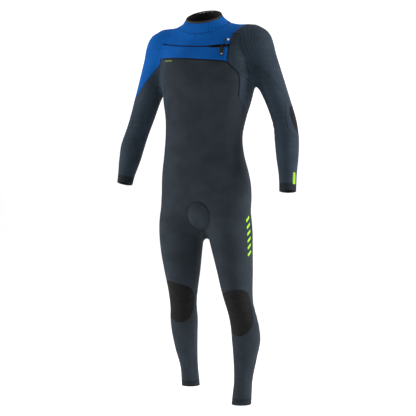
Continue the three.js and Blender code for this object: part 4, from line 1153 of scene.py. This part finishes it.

# %% [markdown]
# ## Where a point is on its cloth
#
# A pattern that is knitted into the cloth has to turn with the limb. Each
# point therefore carries its distance around the limb, its distance along it
# and how dark it is painted where it lies in a fold, as painted shade. Around
# a limb the distance is that along an oval of the limb's usual size, so that
# ribs run straight down it.

# %% Cloth coordinates
def around_oval(dx, dy, half, depth, top=0.0):
    """Arc length on an oval from its front: the sum of the steps between equal angles, looked up by angle."""
    turn = np.linspace(-np.pi, np.pi, 721)
    arc = np.concatenate([[0], np.cumsum(np.hypot(np.diff(half * np.sin(turn)), np.diff(depth * np.cos(turn))))])
    angle = np.arctan2(dx / half, (np.abs(dy) + top) / depth)
    return np.interp(angle, turn, arc - arc[360])


def cloth_of(name, p):
    """Around and along in metres, and the painted shade of the folds."""
    if "collar" in name:
        around = 64 * np.arctan2(p[:, 0] - 2, 6 - p[:, 1])
    elif any(word in name for word in ("sleeve", "elbow", "forearm", "cuff", "shoulder")):
        side = "right" if name.startswith("right") else "left"
        o = oval_at(arms[side], np.minimum(p[:, 2], 1300))[0]
        top = 70 * step(p[:, 2], 1315, 1365)
        around = around_oval(p[:, 0] - o[:, 0], p[:, 1] - o[:, 1], 50, 50, top)
    elif any(word in name for word in ("knee", "shin", "calf", "thigh", "ankle")):
        side = "right" if name.startswith("right") else "left"
        o = oval_at(legs[side], p[:, 2])[0]
        around = around_oval(p[:, 0] - o[:, 0], p[:, 1] - o[:, 1], 56, 60)
    else:
        around = around_oval(p[:, 0] - 6, p[:, 1] - 12, 165, 105)
    # painted shade: the deeper a point lies in a fold or groove, the darker it is painted
    shade = step(-height(p), 1.0, 7.0) * 0.8
    return np.column_stack([around * MM, p[:, 2] * MM, shade])


# %% [markdown]
# ## From a patch to a panel
#
# A panel is its outer face, its inner face a wall further in, and its cut
# edge. The edge is rolled: the outer face stops a little short, and two more
# rows of points go over the corner, so that two panels that meet leave the fine
# groove of a glued seam. Where one cloth runs on without a seam the edges stay
# flush and nothing shows.

# %% Panel shells
EDGE = np.array([(1.1, 0.0), (0.35, 0.35), (0.12, 1.1)])     # inset and depth over the rolled corner
FLUSH = {
    frozenset(pair) for pair in (
        ("chest_yoke", "right_sleeve_cap"), ("chest_band", "right_sleeve_cap"), ("back_yoke", "right_sleeve_cap"),
        ("left_shoulder", "left_elbow_sleeve"), ("right_sleeve_cap", "right_elbow_sleeve"),
        ("seat", "left_thigh_back"), ("seat", "right_thigh_back"), ("left_side_panel", "left_under_sleeve"))}
for side in ("right", "left"):
    FLUSH |= {frozenset((f"{side}_{a}", f"{side}_{b}")) for a, b in (
        ("under_sleeve", "elbow_sleeve"), ("elbow_sleeve", "forearm"), ("thigh_back", "knee_back"),
        ("knee_back", "shin"), ("knee_back", "calf"))}
    FLUSH.add(frozenset(("front_body", f"{side}_knee_back")))

names = sorted(panels)


def border_of(tris):
    """The edges used by one triangle only, in the direction that keeps the panel on their left."""
    sides = np.concatenate([tris[:, [0, 1]], tris[:, [1, 2]], tris[:, [2, 0]]])
    _, first, uses = np.unique(np.sort(sides, 1), axis=0, return_index=True, return_counts=True)
    return sides[first[uses == 1]]


def meeting_edges():
    """Each border edge with the numbers of the two panels that meet on it."""
    rows = [np.column_stack([np.sort(border_of(panels[n]), 1), np.full(len(border_of(panels[n])), k)])
            for k, n in enumerate(names)]
    rows = np.concatenate(rows)
    rows = rows[np.lexsort(rows.T[[2, 1, 0]])]
    same = (rows[1:, :2] == rows[:-1, :2]).all(1)
    return np.column_stack([rows[:-1][same], rows[1:][same, 2]])


meetings = meeting_edges()
flush_pair = np.array([frozenset((names[a], names[b])) in FLUSH for a, b in meetings[:, 2:]])
flush_edges = meetings[flush_pair, :2]
BIG = len(skin_point)


def edge_codes(edges):
    pair = np.sort(edges, 1)
    return pair[:, 0] * BIG + pair[:, 1]


def shell(tris, wall):
    """The points, faces and normals of a panel: outer face, rolled edge, inner face."""
    ids = np.unique(tris)
    place = np.full(BIG, -1)
    place[ids] = np.arange(len(ids))
    border = border_of(tris)
    seam = ~np.isin(edge_codes(border), edge_codes(flush_edges))
    normal = skin_normal.copy()
    along = skin_point[border[:, 1]] - skin_point[border[:, 0]]
    way = unit(np.cross(normal[border[:, 0]] + normal[border[:, 1]], along)) * seam[:, None]
    inset = np.zeros((BIG, 3))
    for end in (0, 1):
        np.add.at(inset, border[:, end], way)
    count = np.bincount(border[seam].ravel(), minlength=BIG)[:, None]
    inset = inset * count / np.maximum((inset**2).sum(1, keepdims=True), 0.5)
    rim = skin["planes"].any(1)
    down = normal - (normal * skin["planes"]).sum(1, keepdims=True) * skin["planes"]
    down[rim] = unit(down[rim])
    edge_ids = np.unique(border)
    thick = wall(base) if callable(wall) else np.full(BIG, float(wall))
    lower = EDGE[::-1] * (1, -1)
    rows = [skin_point[edge_ids] + inset[edge_ids] * i - down[edge_ids] * d for i, d in EDGE[1:]]
    rows += [skin_point[edge_ids] + inset[edge_ids] * i - down[edge_ids] * (thick[edge_ids, None] + d)
             for i, d in lower[:2]]
    outer = skin_point[ids] + inset[ids] * EDGE[0, 0]
    inner = outer - down[ids] * thick[ids, None]
    k, m = len(ids), len(edge_ids)
    ring = np.full(BIG, -1)
    ring[edge_ids] = np.arange(m)
    a, b = border.T
    loops = [(place[a], place[b])] + [(2 * k + r * m + ring[a], 2 * k + r * m + ring[b]) for r in range(4)]
    loops.append((place[a] + k, place[b] + k))
    strips = [np.column_stack([b0, a0, a1, b1]) for (a0, b0), (a1, b1) in zip(loops, loops[1:])]
    faces = place[tris].tolist() + (place[tris][:, ::-1] + k).tolist() + np.concatenate(strips).tolist()
    out, side = normal[ids], -inset[edge_ids]
    tilt = [unit(normal[edge_ids] * c + unit(side) * s) for c, s in ((0.7, 0.7), (0.1, 1), (-0.1, 1), (-0.7, 0.7))]
    part = np.concatenate([np.zeros(len(tris)), np.full(len(tris), 2), np.repeat([0, 1, 1, 1, 2], len(border))])
    points = np.concatenate([outer, inner, *rows])
    source = np.concatenate([ids, ids, *[edge_ids] * 4])
    return points, faces, np.concatenate([out, -out, *tilt]), part.astype(int), source


def turn_out(mesh):
    """Turns the faces of closed shapes so that they all point outwards."""
    form = bmesh.new()
    form.from_mesh(mesh)
    bmesh.ops.recalc_face_normals(form, faces=form.faces)
    form.to_mesh(mesh)
    form.free()


def add_mesh(name, points, faces, materials, part=None, normals=None, cloth=None, solid=False):
    """A piece with its place in its mesh, its finishes and its cloth coordinates."""
    mesh = bpy.data.meshes.new(name)
    mesh.from_pydata(to_frame(points).tolist(), [], faces)
    if solid:
        turn_out(mesh)
    for material in materials:
        mesh.materials.append(looks[material])
    if part is not None:
        mesh.polygons.foreach_set("material_index", part)
    if cloth is not None:
        layer = mesh.attributes.new("cloth", "FLOAT_VECTOR", "POINT")
        layer.data.foreach_set("vector", np.asarray(cloth, np.float32).ravel())
    mesh.shade_smooth()
    if normals is not None:
        mesh.normals_split_custom_set_from_vertices(normals.tolist())
    piece = bpy.data.objects.new(name, mesh)
    bpy.context.scene.collection.objects.link(piece)
    return piece


def area_of(tris):
    corner = skin_point[tris] * MM
    return float(np.linalg.norm(np.cross(corner[:, 1] - corner[:, 0], corner[:, 2] - corner[:, 0]), axis=1).sum() / 2)


def ride_or_blend(piece, zone):
    """A piece rides on its body; a piece across a knee or an elbow only has its place baked into its points."""
    if zone in ("right_knee", "left_knee", "right_elbow", "left_elbow"):
        side, bend = zone.split("_")
        part, z, reach, moving = ((legs[side], KNEE[side], KNEE_ZONE, "shin") if bend == "knee"
                                  else (arms[side], ELBOW[side], ELBOW_ZONE, "forearm"))
        centre, way = axis_point(part, z), axis_way(part, z)
        tuple(to_frame(centre + way * reach))
        tuple(to_frame(centre - way * reach))
        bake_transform(piece)
    else:
        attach(piece, zone)


def zone_of(name):
    side = name.split("_")[0]
    if "knee" in name:
        return f"{side}_knee"
    if "elbow" in name:
        return f"{side}_elbow"
    if any(word in name for word in ("shin", "calf", "ankle")):
        return f"{side}_shin_body"
    if any(word in name for word in ("forearm", "cuff")):
        return f"{side}_forearm_body"
    return "suit_body"


# %% [markdown]
# ## The panels
#
# Blue over the chest and the right shoulder, ribbed graphite on the other
# sleeve and the sides, smooth graphite on the front and the legs, and black
# print on the knees and the elbows. Each panel is four millimetres thick on
# the trunk and three on the limbs. The size of its cut as a flat sheet is
# worked out and printed, because the rubber is cut flat and only stretched
# into shape.

# %% Making the panels
TRUNK_WALL, LIMB_WALL = 4, 3
FINISH = {
    "blue": ("collar", "chest_yoke", "chest_band", "back_yoke", "right_sleeve_cap"),
    "ribbed": ("left_shoulder", "left_side_panel", "right_side_panel", "upper_back", "left_under_sleeve",
               "right_under_sleeve", "left_elbow_sleeve", "right_elbow_sleeve", "left_forearm", "right_forearm"),
    "pad": ("right_knee_pad", "left_knee_pad", "right_elbow_patch", "left_elbow_patch"),
    "hem": ("right_cuff", "left_cuff", "right_ankle_hem", "left_ankle_hem"),
    "binding": ("collar_binding",),
}
ON_TRUNK = ("collar", "chest", "yoke", "front_body", "codpiece", "seat", "upper_back", "side_panel", "shoulder")


def trunk_wall(p):
    """Four millimetres, skived to under three beside the zip so that the slider passes."""
    beside = (p[:, 1] < 26) & (np.abs(p[:, 2] - 1296) < 60)
    return TRUNK_WALL - 1.3 * np.exp(-(zip_rule(p) / 9)**2) * beside


def finish_of(name):
    return next((look for look, members in FINISH.items() if name in members), "graphite")


sheets = {}
for name in names:
    finish = finish_of(name)
    wall = trunk_wall if any(word in name for word in ON_TRUNK) else LIMB_WALL
    points, faces, normals, part, source = shell(panels[name], wall)
    cloth = cloth_of(name, base[source])
    piece = add_mesh(f"{name}_panel", points, faces, (finish, "foam", "lining"), part, normals, cloth)
    ride_or_blend(piece, zone_of(name))
    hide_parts(name)
    area = area_of(panels[name])
    wide, long = (float(np.ptp(cloth[:, k])) for k in (0, 1))
    wide = min(max(wide, area / long), area / (0.4 * long))
    sheets[name] = (wide, long, area)
print({n: tuple(round(v, 3) for v in s) for n, s in sheets.items()})

# %% [markdown]
# ## Stitches
#
# The seams are glued and then sewn, and the thread shows as short stitches
# that lean across the groove. The border edges of two panels that meet are
# joined into lines by Blender's own curve conversion, the lines are divided at
# an even pitch, and a stitch, a low arch of thread, is set at each point.

# %% Lines along the seams
def spaced(line, pitch):
    """Points at an even pitch along a line, by its length."""
    far = np.concatenate([[0], np.cumsum(np.linalg.norm(np.diff(line, axis=0), axis=1))])
    at = np.linspace(0, far[-1], max(2, round(far[-1] / pitch) + 1))
    return np.column_stack([np.interp(at, far, line[:, k]) for k in range(3)])


def chained(edges, place):
    """Edges joined into lines: a mesh of them becomes a curve, one spline to a line."""
    ids, numbers = np.unique(edges, return_inverse=True)
    mesh = bpy.data.meshes.new("chain")
    mesh.from_pydata(place[ids].tolist(), numbers.reshape(-1, 2).tolist(), [])
    chain = bpy.data.objects.new("chain", mesh)
    bpy.context.scene.collection.objects.link(chain)
    bpy.ops.object.select_all(action="DESELECT")
    chain.select_set(True)
    bpy.context.view_layer.objects.active = chain
    bpy.ops.object.convert(target="CURVE")
    lines = []
    for spline in chain.data.splines:
        flat = np.empty(len(spline.points) * 4)
        spline.points.foreach_get("co", flat)
        line = flat.reshape(-1, 4)[:, :3]
        lines.append(np.vstack([line, line[:1]]) if spline.use_cyclic_u else line)
    curve = chain.data
    bpy.data.objects.remove(chain)
    bpy.data.curves.remove(curve)
    return lines


def evened(line, pitch, turns=12):
    """A line at an even pitch with its jitter averaged out, its ends kept."""
    line = spaced(line, pitch)
    for _ in range(turns):
        line[1:-1] = line[1:-1] / 2 + (line[:-2] + line[2:]) / 4
    return line


def frames_on(line, lift=0.0):
    """At each point of a line on the suit: the point raised by lift, the way out, along and across."""
    on = settle(line, 2)
    face = outward(on)
    along = unit(np.gradient(on, axis=0))
    across = unit(np.cross(along, face))
    return on + face * (height(on) + lift)[:, None], face, along, across


def net(rows, columns, rows_close=False, columns_close=False):
    """The squares of a grid of points, row by row; rows or columns that close join their last to their first."""
    i, j = np.meshgrid(np.arange(rows - (not rows_close)), np.arange(columns - (not columns_close)), indexing="ij")
    n, m = (i + 1) % rows, (j + 1) % columns
    return np.stack([i * columns + j, n * columns + j, n * columns + m, i * columns + m], -1).reshape(-1, 4)


def pad_faces(rows, columns, below):
    """The lid of a pad, and the wall around it down to the same points, which come `below` places later."""
    lid = net(rows, columns)[:, [0, 3, 2, 1]]
    grid = np.arange(rows * columns).reshape(rows, columns)
    rim = np.concatenate([grid[0, :-1], grid[:-1, -1], grid[-1, :0:-1], grid[:0:-1, 0]])
    follow = np.roll(rim, -1)
    return lid, np.column_stack([rim, follow, follow + below, rim + below])


def bars(at, face, across, half_long, radius, arch=0.0, sides=6, rows=7):
    """A round bar at each point: rings along `across`, thinner at the ends, raised in an arch."""
    t = np.linspace(-1, 1, rows)
    turn = 2 * np.pi * np.arange(sides) / sides
    along = np.cross(across, face)
    spine = (at[:, None] + across[:, None] * (t * half_long)[None, :, None]
             + face[:, None] * (arch * (1 - t**2))[None, :, None])
    thin = radius * np.sqrt(1 - 0.85 * t**4)
    ring = (np.cos(turn)[None, None, :, None] * along[:, None, None] + np.sin(turn)[None, None, :, None]
            * face[:, None, None])
    points = spine[:, :, None] + ring * thin[None, :, None, None]
    walls = net(rows, sides, columns_close=True)
    start = np.arange(len(at))[:, None, None] * rows * sides
    faces = (walls[None] + start).reshape(-1, 4).tolist()
    ends = np.stack([np.arange(sides), (rows - 1) * sides + np.arange(sides)[::-1]])
    return points.reshape(-1, 3), faces + (ends[None] + start).reshape(-1, sides).tolist()


def plain_cloth(points):
    return np.column_stack([points[:, 0] * MM, points[:, 2] * MM, np.zeros(len(points))])


def merged(parts):
    """Several point and face lists as one."""
    starts = np.cumsum([0] + [len(p) for p, _ in parts[:-1]])
    return (np.concatenate([p for p, _ in parts]),
            [[i + s for i in f] for (_, faces), s in zip(parts, starts) for f in faces])


STITCH_PITCH = 3.4


def stitches(line):
    """Stitches that lean to either side in turn along a line."""
    at, face, along, across = frames_on(evened(line, STITCH_PITCH), -0.25)
    lean = np.where(np.arange(len(at)) % 2, 0.45, -0.45)[:, None]
    return bars(at, face, unit(across + along * lean), 1.9, 0.28, 0.45)


PLAIN_JOINS = FLUSH | {frozenset(("collar", "collar_binding")), frozenset(("chest_yoke", "left_shoulder")),
                       frozenset(("chest_band", "left_shoulder")), frozenset(("chest_band", "front_body"))}
groups = {}
for pair in np.unique(meetings[:, 2:], axis=0):
    first, second = names[pair[0]], names[pair[1]]
    if frozenset((first, second)) in PLAIN_JOINS:
        continue
    edges = meetings[(meetings[:, 2:] == pair).all(1), :2]
    zones = sorted((zone_of(first), zone_of(second)), key=lambda z: (z == "suit_body", z.endswith("body")))
    groups.setdefault(zones[0], []).extend(line for line in chained(edges, base) if len(line) > 4)
ELBOW_LINES = {
    "left_elbow": [(320, -22, 1082), (319, -21, 1054), (322, -25, 1020), (330, -30, 985), (345, -22, 958),
                   (360, -8, 942)],
    "right_elbow": [(-268, -30, 1076), (-274, -29, 1055), (-276, -31, 1035), (-284, -32, 1012), (-297, -28, 992),
                    (-312, -12, 975)],
}
for zone, route in ELBOW_LINES.items():
    groups[zone].append(smooth_line(settle(np.array(route, float), 3)))
for zone, lines in groups.items():
    sewn = [stitches(line) for line in lines if np.linalg.norm(np.diff(line, axis=0), axis=1).sum() > 12]
    points, faces = merged(sewn)
    threads = add_mesh(f"stitches_{zone}", points, faces, ("thread",), cloth=plain_cloth(points), solid=True)
    ride_or_blend(threads, zone)
    print(zone, len(lines), "seams,", len(faces), "faces of thread")

# %% [markdown]
# ## Tapes, bindings and printed marks
#
# A bonded tape closes the line under the blue band, and a narrow binding edges
# the flap where it meets the left shoulder. Both are a rounded profile carried
# along a line on the suit. The printed marks are thin pads of raised ink: plain
# slanted bars on the thigh, short dashes on the chest and one label at the
# wrist.

# %% Profiles carried along a line
def rounded_band(half, low, high, round_by=0.4, corner=4):
    """A flat band whose two upper corners are quarter circles."""
    turn = np.linspace(0, np.pi / 2, corner)
    r = min(round_by, high - low)
    right = np.column_stack([half - r + r * np.cos(turn), high - r + r * np.sin(turn)])
    left = right[::-1] * (-1, 1)
    return np.vstack([[(-half, low), (half, low)], right, left])


def sweep(at, face, across, profile):
    """A profile's (across, out) points at every frame, walls between the frames and a cap at each end."""
    n, m = len(profile), len(at)
    points = (at[:, None] + across[:, None] * profile[None, :, :1] + face[:, None] * profile[None, :, 1:])
    walls = net(m, n, columns_close=True).tolist()
    return points.reshape(-1, 3), walls + [list(range(n)), list(range((m - 1) * n, m * n))[::-1]]


def add_strip(name, line, profile, look, pitch=4.0, zone="suit_body"):
    """A profile swept along a line on the suit, as a piece of its own."""
    at, face, along, across = frames_on(evened(line, pitch, 4))
    points, faces = sweep(at, face, across, profile)
    cloth = np.repeat(np.column_stack([np.zeros(len(at)), np.arange(len(at)) * pitch * MM, np.zeros(len(at))]),
                      len(profile), axis=0)
    cloth[:, 0] = np.tile(profile[:, 0] * MM, len(at))
    strip = add_mesh(name, points, faces, (look,), cloth=cloth, solid=True)
    ride_or_blend(strip, zone)
    return strip


def front_points(xs, zs, ys=0.0):
    """Points on the front of the suit at the given x and z, by rays that run forward."""
    start = np.column_stack([xs, np.broadcast_to(ys, np.shape(xs)), zs])
    return cast(start, np.broadcast_to([0.0, -1.0, 0.0], start.shape))


across_x = np.arange(-152.0, 116.0, 6.0)
corner_x = np.arange(118.0, 154.0, 5.0)
tape_line = np.vstack([front_points(across_x, tape_height(across_x)), front_points(corner_x, 1343 - corner_x)])
down = np.arange(1182.0, 1096.0, -8.0)
side_start = np.column_stack([np.full(len(down), 90.0), np.interp(down, *SIDE_SEAM.T), down])
tape_line = np.vstack([tape_line, cast(side_start, np.broadcast_to([1.0, 0, 0], side_start.shape))])
tape = add_strip("band_tape", tape_line, rounded_band(2.6, -0.6, 0.7), "tape")
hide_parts("seam_tape")

closure_z = np.arange(1360.0, 1302.0, -5.0)
closure = front_points(closure_x(closure_z), closure_z)
flap_edge = add_strip("flap_binding", closure, rounded_band(2.6, -0.8, 1.2), "binding")
low_z = np.arange(1302.0, 1224.0, -6.0)
low_line = front_points(closure_x(low_z), low_z)
flap_tape = add_strip("flap_tape", low_line, rounded_band(2.2, -0.8, 0.6), "tape")
for zone, route in ELBOW_LINES.items():
    crease = add_strip(f"{zone}_seam", smooth_line(settle(np.array(route, float), 3)),
                       rounded_band(0.9, -0.6, 0.12, 0.1), "thread", 3.0, zone)


# %% Printed marks
def inked(name, line, marks, look, high=0.45):
    """Pads of ink in a line's own plane: (start, end, low, high, slant) each, rounded at their corners."""
    line = evened(line, 1.0, 20)
    on, _, _, across = frames_on(line)
    u, v = np.meshgrid(np.linspace(0, 1, 7), np.linspace(0, 1, 13), indexing="ij")
    marks = np.array(marks, float)[:, :, None, None]
    square = np.sqrt(np.clip(1 - np.abs(2 * u - 1)**10, 0, 1))[None]
    t = marks[:, 2] + (marks[:, 3] - marks[:, 2]) * (0.5 + (v - 0.5) * (0.86 + 0.14 * square))
    s = marks[:, 0] + (marks[:, 1] - marks[:, 0]) * u + marks[:, 4] * (v - 0.5)
    k = np.arange(len(on), dtype=float)
    flat = np.stack([np.interp(s, k, on[:, i]) + np.interp(s, k, across[:, i]) * t for i in range(3)], -1)
    rows, columns = u.shape
    foot = settle(flat.reshape(-1, 3), 2)
    top, bottom = raised(foot, high), raised(foot, -0.2)
    size = rows * columns
    below = len(marks) * size
    lid, wall = pad_faces(rows, columns, below)
    shift = (np.arange(len(marks)) * size)[:, None, None]
    lids, walls = ((part[None] + shift).reshape(-1, 4) for part in (lid, wall))
    faces = np.concatenate([lids, lids[:, ::-1] + below, walls])
    pad = add_mesh(name, np.concatenate([top, bottom]), faces.tolist(), (look,), solid=True)
    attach(pad, "suit_body")
    return pad


def round_limb(part, heights, angle):
    """Points on a limb at the given heights, at an angle from the front towards the wearer's right."""
    o = oval_at(part, heights)[0]
    start = np.column_stack([o[:, 0], o[:, 1], heights])
    turn = math.radians(angle)
    way = np.array([-math.sin(turn), -math.cos(turn), 0.0])
    return cast(start, np.broadcast_to(way, start.shape))


thigh_line = round_limb(legs["left"], np.arange(672.0, 506.0, -8.0), 284)
BAR = {"count": 6, "pitch": 25, "start": 10, "long": 10, "half": 12, "slant": 14}
bar_starts = BAR["start"] + BAR["pitch"] * np.arange(BAR["count"])
thigh_marks = [(at, at + BAR["long"], -BAR["half"], BAR["half"], BAR["slant"]) for at in bar_starts]
thigh = inked("thigh_bars", thigh_line, thigh_marks, "lime")
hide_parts("thigh_mark")
mark_x = np.arange(-138.0, -84.0, 4.0)
chest_line = front_points(mark_x, tape_height(mark_x) - 9)
chest = inked("chest_dashes", chest_line, [(4 + 7 * k, 8.5 + 7 * k, -1.5, 1.5, 1.2) for k in range(6)], "lime", 0.4)
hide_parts("chest_mark")
label_line = round_limb(arms["left"], np.arange(828.0, 776.0, -4.0), 300)
label = inked("wrist_tag", label_line, [(4, 46, -6.5, 6.5, 0)], "lime", 0.7)
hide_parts("wrist_label")
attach(label, "left_forearm_body")
stripes = inked("wrist_tag_lines", label_line, [(9 + 7 * k, 12.5 + 7 * k, -4.5, 4.5, 2) for k in range(5)],
                "lime_dark", 0.95)
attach(stripes, "left_forearm_body")
print("marks", len(thigh_marks), "bars on the thigh")

# %% [markdown]
# ## The zip
#
# Two tapes lie under the lips of the slot and carry a coil of nylon: turns of
# one thick thread that catch each other in the middle. The coil is made as
# bars set across the tape, left and right in turn. They follow one circle, so
# the slider can run along it, and the circle goes through three points of the
# chest, moved in by the thickness of the rubber.

# %% Coil
ZIP_UNDER = 3.9
SLIDER_AT = 90


def chest_points(x):
    """Where the zip's plane leaves the chest at x."""
    x = np.atleast_1d(np.asarray(x, float))
    start = np.column_stack([x, np.full(len(x), 10.0), 1315 - 0.047 * x + 3.23])
    return cast(start, np.broadcast_to([0.0, -1.0, -0.323], start.shape))


def centre_through(a, b, c):
    """The middle of the circle through three points, from the two chords and their common normal."""
    ab, ac = b - a, c - a
    n = np.cross(ab, ac)
    return a + (np.cross(ac, n) * -(ab @ ab) + np.cross(n, ab) * -(ac @ ac)) / (-2 * (n @ n))


zip_middle = chest_points(sum(ZIP_ENDS) / 2)[0]
zip_centre = centre_through(chest_points(ZIP_ENDS[0] + 22)[0], zip_middle, chest_points(ZIP_ENDS[1] - 8)[0])
zip_face = outward(zip_middle[None])[0]
zip_lean = math.atan2(zip_face @ ZIP_UP, zip_face @ unit(zip_middle - zip_centre))
reach = np.linalg.norm(chest_points(spread(*ZIP_ENDS, 12)) - zip_centre, axis=1).min()
zip_base = reach - (TRUNK_WALL + ZIP_UNDER) * math.cos(zip_lean)
zip_drop = (TRUNK_WALL + ZIP_UNDER) * math.sin(zip_lean)


def zip_frames(x):
    """The zip's frames at x: the point on its circle, facing, along and across, turned by its lean."""
    rel = chest_points(x) - zip_centre
    angle = np.arctan2(rel[:, 0], -rel[:, 1])[:, None]
    u = unit(np.array([1.0, 0, 0]) - ZIP_UP[0] * ZIP_UP)
    v = -np.cross(ZIP_UP, u)
    radial = v * np.cos(angle) + u * np.sin(angle)
    face = radial * math.cos(zip_lean) + ZIP_UP * math.sin(zip_lean)
    across = ZIP_UP * math.cos(zip_lean) - radial * math.sin(zip_lean)
    return zip_centre + radial * zip_base - ZIP_UP * zip_drop, face, np.cross(across, face), across


TOOTH_PITCH = 1.15
tooth_x = np.arange(ZIP_ENDS[0] + 3, ZIP_ENDS[1] - 3, TOOTH_PITCH)
at, face, along, across = zip_frames(tooth_x)
turn_side = np.where(np.arange(len(tooth_x)) % 2, 0.75, -0.75)[:, None]
coil = bars(at + face * 0.75 + across * turn_side, face, across, 1.85, 0.72, 0.35)
cords = [sweep(at[::4] + across[::4] * side + face[::4] * 0.4, face[::4], across[::4], rounded_band(0.5, -0.5, 0.9))
         for side in (-2.3, 2.3)]
points, faces = merged([coil, *cords])
teeth = add_mesh("zip_coil", points, faces, ("nylon",), solid=True)
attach(teeth, "suit_body")
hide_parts("zip_teeth")
print(len(tooth_x), "turns of the coil")

# %% [markdown]
# ## Pull and cord lock
#
# The pull is a soft tab moulded over a ribbon: a rim around it, ridges for a
# wet thumb and a steel clip at its end. Its eye goes around the bar of the
# slider's bridge. The cord lock is a steel barrel with rounded ends and a hole
# along it, turned on the line of the cord.

# %% Pull
PULL_LEAN = math.radians(8)
PULL = {"wide": 14.5, "long": 42.0, "thick": 2.2, "eye": 1.8, "rim": 1.3}
BRIDGE_BAR = 9.3


def slab(outline_half, ys, thick_of, columns=15):
    """A tab: at each y a half width and a thickness over the width, as a closed grid of two faces."""
    t = np.linspace(-1, 1, columns)
    x = outline_half[:, None] * t
    z = thick_of(x, ys[:, None]) * np.sqrt(np.clip(1 - np.abs(t)**12, 0.02, 1))
    top = np.stack([x, np.broadcast_to(ys[:, None], x.shape), z], -1).reshape(-1, 3)
    low = top * (1, 1, -1)
    below = len(ys) * columns
    lid, wall = pad_faces(len(ys), columns, below)
    return np.concatenate([top, low]), np.concatenate([lid, lid[:, ::-1] + below, wall]).tolist()


def ring_around_x(radius, thick, half_wide, sides=28, corner=10):
    """An eye: a superellipse section (wide along x) carried round a circle about the x axis."""
    turn = 2 * np.pi * np.arange(sides) / sides
    a = 2 * np.pi * np.arange(corner) / corner
    x = half_wide * np.sign(np.cos(a)) * np.abs(np.cos(a))**0.6
    r = radius + thick / 2 * np.sign(np.sin(a)) * np.abs(np.sin(a))**0.6
    points = np.stack([np.broadcast_to(x, (sides, corner)), np.cos(turn)[:, None] * r, np.sin(turn)[:, None] * r], -1)
    return points.reshape(-1, 3), net(sides, corner, True, True).tolist()


slider_at, slider_face, slider_along, slider_across = (v[0] for v in zip_frames(SLIDER_AT))
pull_axes = np.stack([slider_along,
                      slider_across * math.cos(PULL_LEAN) - slider_face * math.sin(PULL_LEAN),
                      slider_face * math.cos(PULL_LEAN) + slider_across * math.sin(PULL_LEAN)])
pull_at = slider_at + slider_face * BRIDGE_BAR


def on_pull(points):
    """The pull's own x, y, z (along the zip, up the tab, out) to the suit's place."""
    return pull_at + points @ pull_axes


first = -(PULL["eye"] + PULL["rim"]) + 0.6
ys = np.linspace(first - PULL["long"], first - 4, 60)
end = np.minimum(ys - ys[0], ys[-1] - ys)
PULL_CORNER = 3.5
bite = np.clip(PULL_CORNER - end, 0, PULL_CORNER)
half = PULL["wide"] / 2 - PULL_CORNER + np.sqrt(np.clip(PULL_CORNER**2 - bite**2, 0.3, None))


def tab_thickness(x, y):
    """Half the thickness: a web, a raised rim and ridges across it."""
    edge = step(np.abs(x), PULL["wide"] / 2 - 2.4, PULL["wide"] / 2 - 1.4)
    ridge = 0.5 + 0.5 * np.sin(2 * np.pi * y / 3.0)
    return 0.55 + 0.5 * np.maximum(edge, 0.75 * ridge)


tab = slab(half, ys, tab_thickness)
stem_y = np.linspace(first - 5, first + 0.4, 8)
stem = slab(np.full(8, 2.1), stem_y, lambda x, y: 1.05 + 0 * x, 5)
eye = ring_around_x(PULL["eye"] + PULL["rim"] / 2, PULL["rim"], 2.2)
points, faces = merged([tab, stem, eye])
pull = add_mesh("zip_pull_tab", on_pull(points), faces, ("webbing",), solid=True,
                cloth=np.column_stack([points[:, 0] * MM, points[:, 1] * MM, 0 * points[:, 0]]))
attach(pull, "pull_body")
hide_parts("zip_pull")
clip_y = np.linspace(ys[0] + 3.0, ys[0] + 8.5, 14)
clip_half = 3.6 * np.sqrt(np.clip(1 - np.abs(np.linspace(-1, 1, 14))**4, 0.05, 1))
clip = slab(clip_half, clip_y, lambda x, y: 1.25 + 0 * x, 11)
clip_piece = add_mesh("pull_clip", on_pull(clip[0]), clip[1], ("steel",), solid=True)
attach(clip_piece, "pull_body")

# %% Cord lock
BEAD, LOCK_AT, LOCK_SIDES = 5.2, 0.62, 40
CORD_CLEARANCE = 0.5
hole = CORD / 2 + CORD_CLEARANCE
edge = math.acos(hole / BEAD)
a = np.linspace(-edge, edge, 25)
radius = np.concatenate([BEAD * np.cos(a), np.full(6, hole)])
waist = 1 - 0.05 * np.exp(-(np.concatenate([a, np.full(6, 9.0)]) / 0.16)**2)
height_of = np.concatenate([BEAD * np.sin(a), np.linspace(BEAD * math.sin(edge), -BEAD * math.sin(edge), 8)[1:-1]])
line_way = unit(run_ends[1] - run_ends[0])
lock_u = unit(np.cross(line_way, UP))
lock_v = np.cross(line_way, lock_u)
turn = 2 * np.pi * np.arange(LOCK_SIDES) / LOCK_SIDES
lock_middle = run_ends[0] + (run_ends[1] - run_ends[0]) * LOCK_AT
rings = (lock_middle + line_way * height_of[:, None, None]
         + (lock_u * np.cos(turn)[:, None] + lock_v * np.sin(turn)[:, None]) * (radius * waist)[:, None, None])
faces = net(len(radius), LOCK_SIDES, True, True).tolist()
lock = add_mesh("shoulder_cord_lock", rings.reshape(-1, 3), faces, ("steel",), solid=True)
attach(lock, "lock_body")
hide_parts("cord_lock")

drawcord.data.materials.append(looks["cord"])
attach(drawcord, "suit_body")
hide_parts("drawcord")

# %% [markdown]
# ## Pieces carried over
#
# The tapes, the seal behind them, the stop and the slider are right as they
# were packed. They keep their shapes and take their finishes.

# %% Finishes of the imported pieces
CARRIED = {"zip_tape_upper": "zip_tape", "zip_tape_lower": "zip_tape", "inner_seal": "foam",
           "zip_stop": "nylon", "zip_slider": "dark_steel"}
for node, look in CARRIED.items():
    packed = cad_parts[node]
    packed.data.materials.clear()
    packed.data.materials.append(looks[look])
print(len(CARRIED), "packed pieces finished")
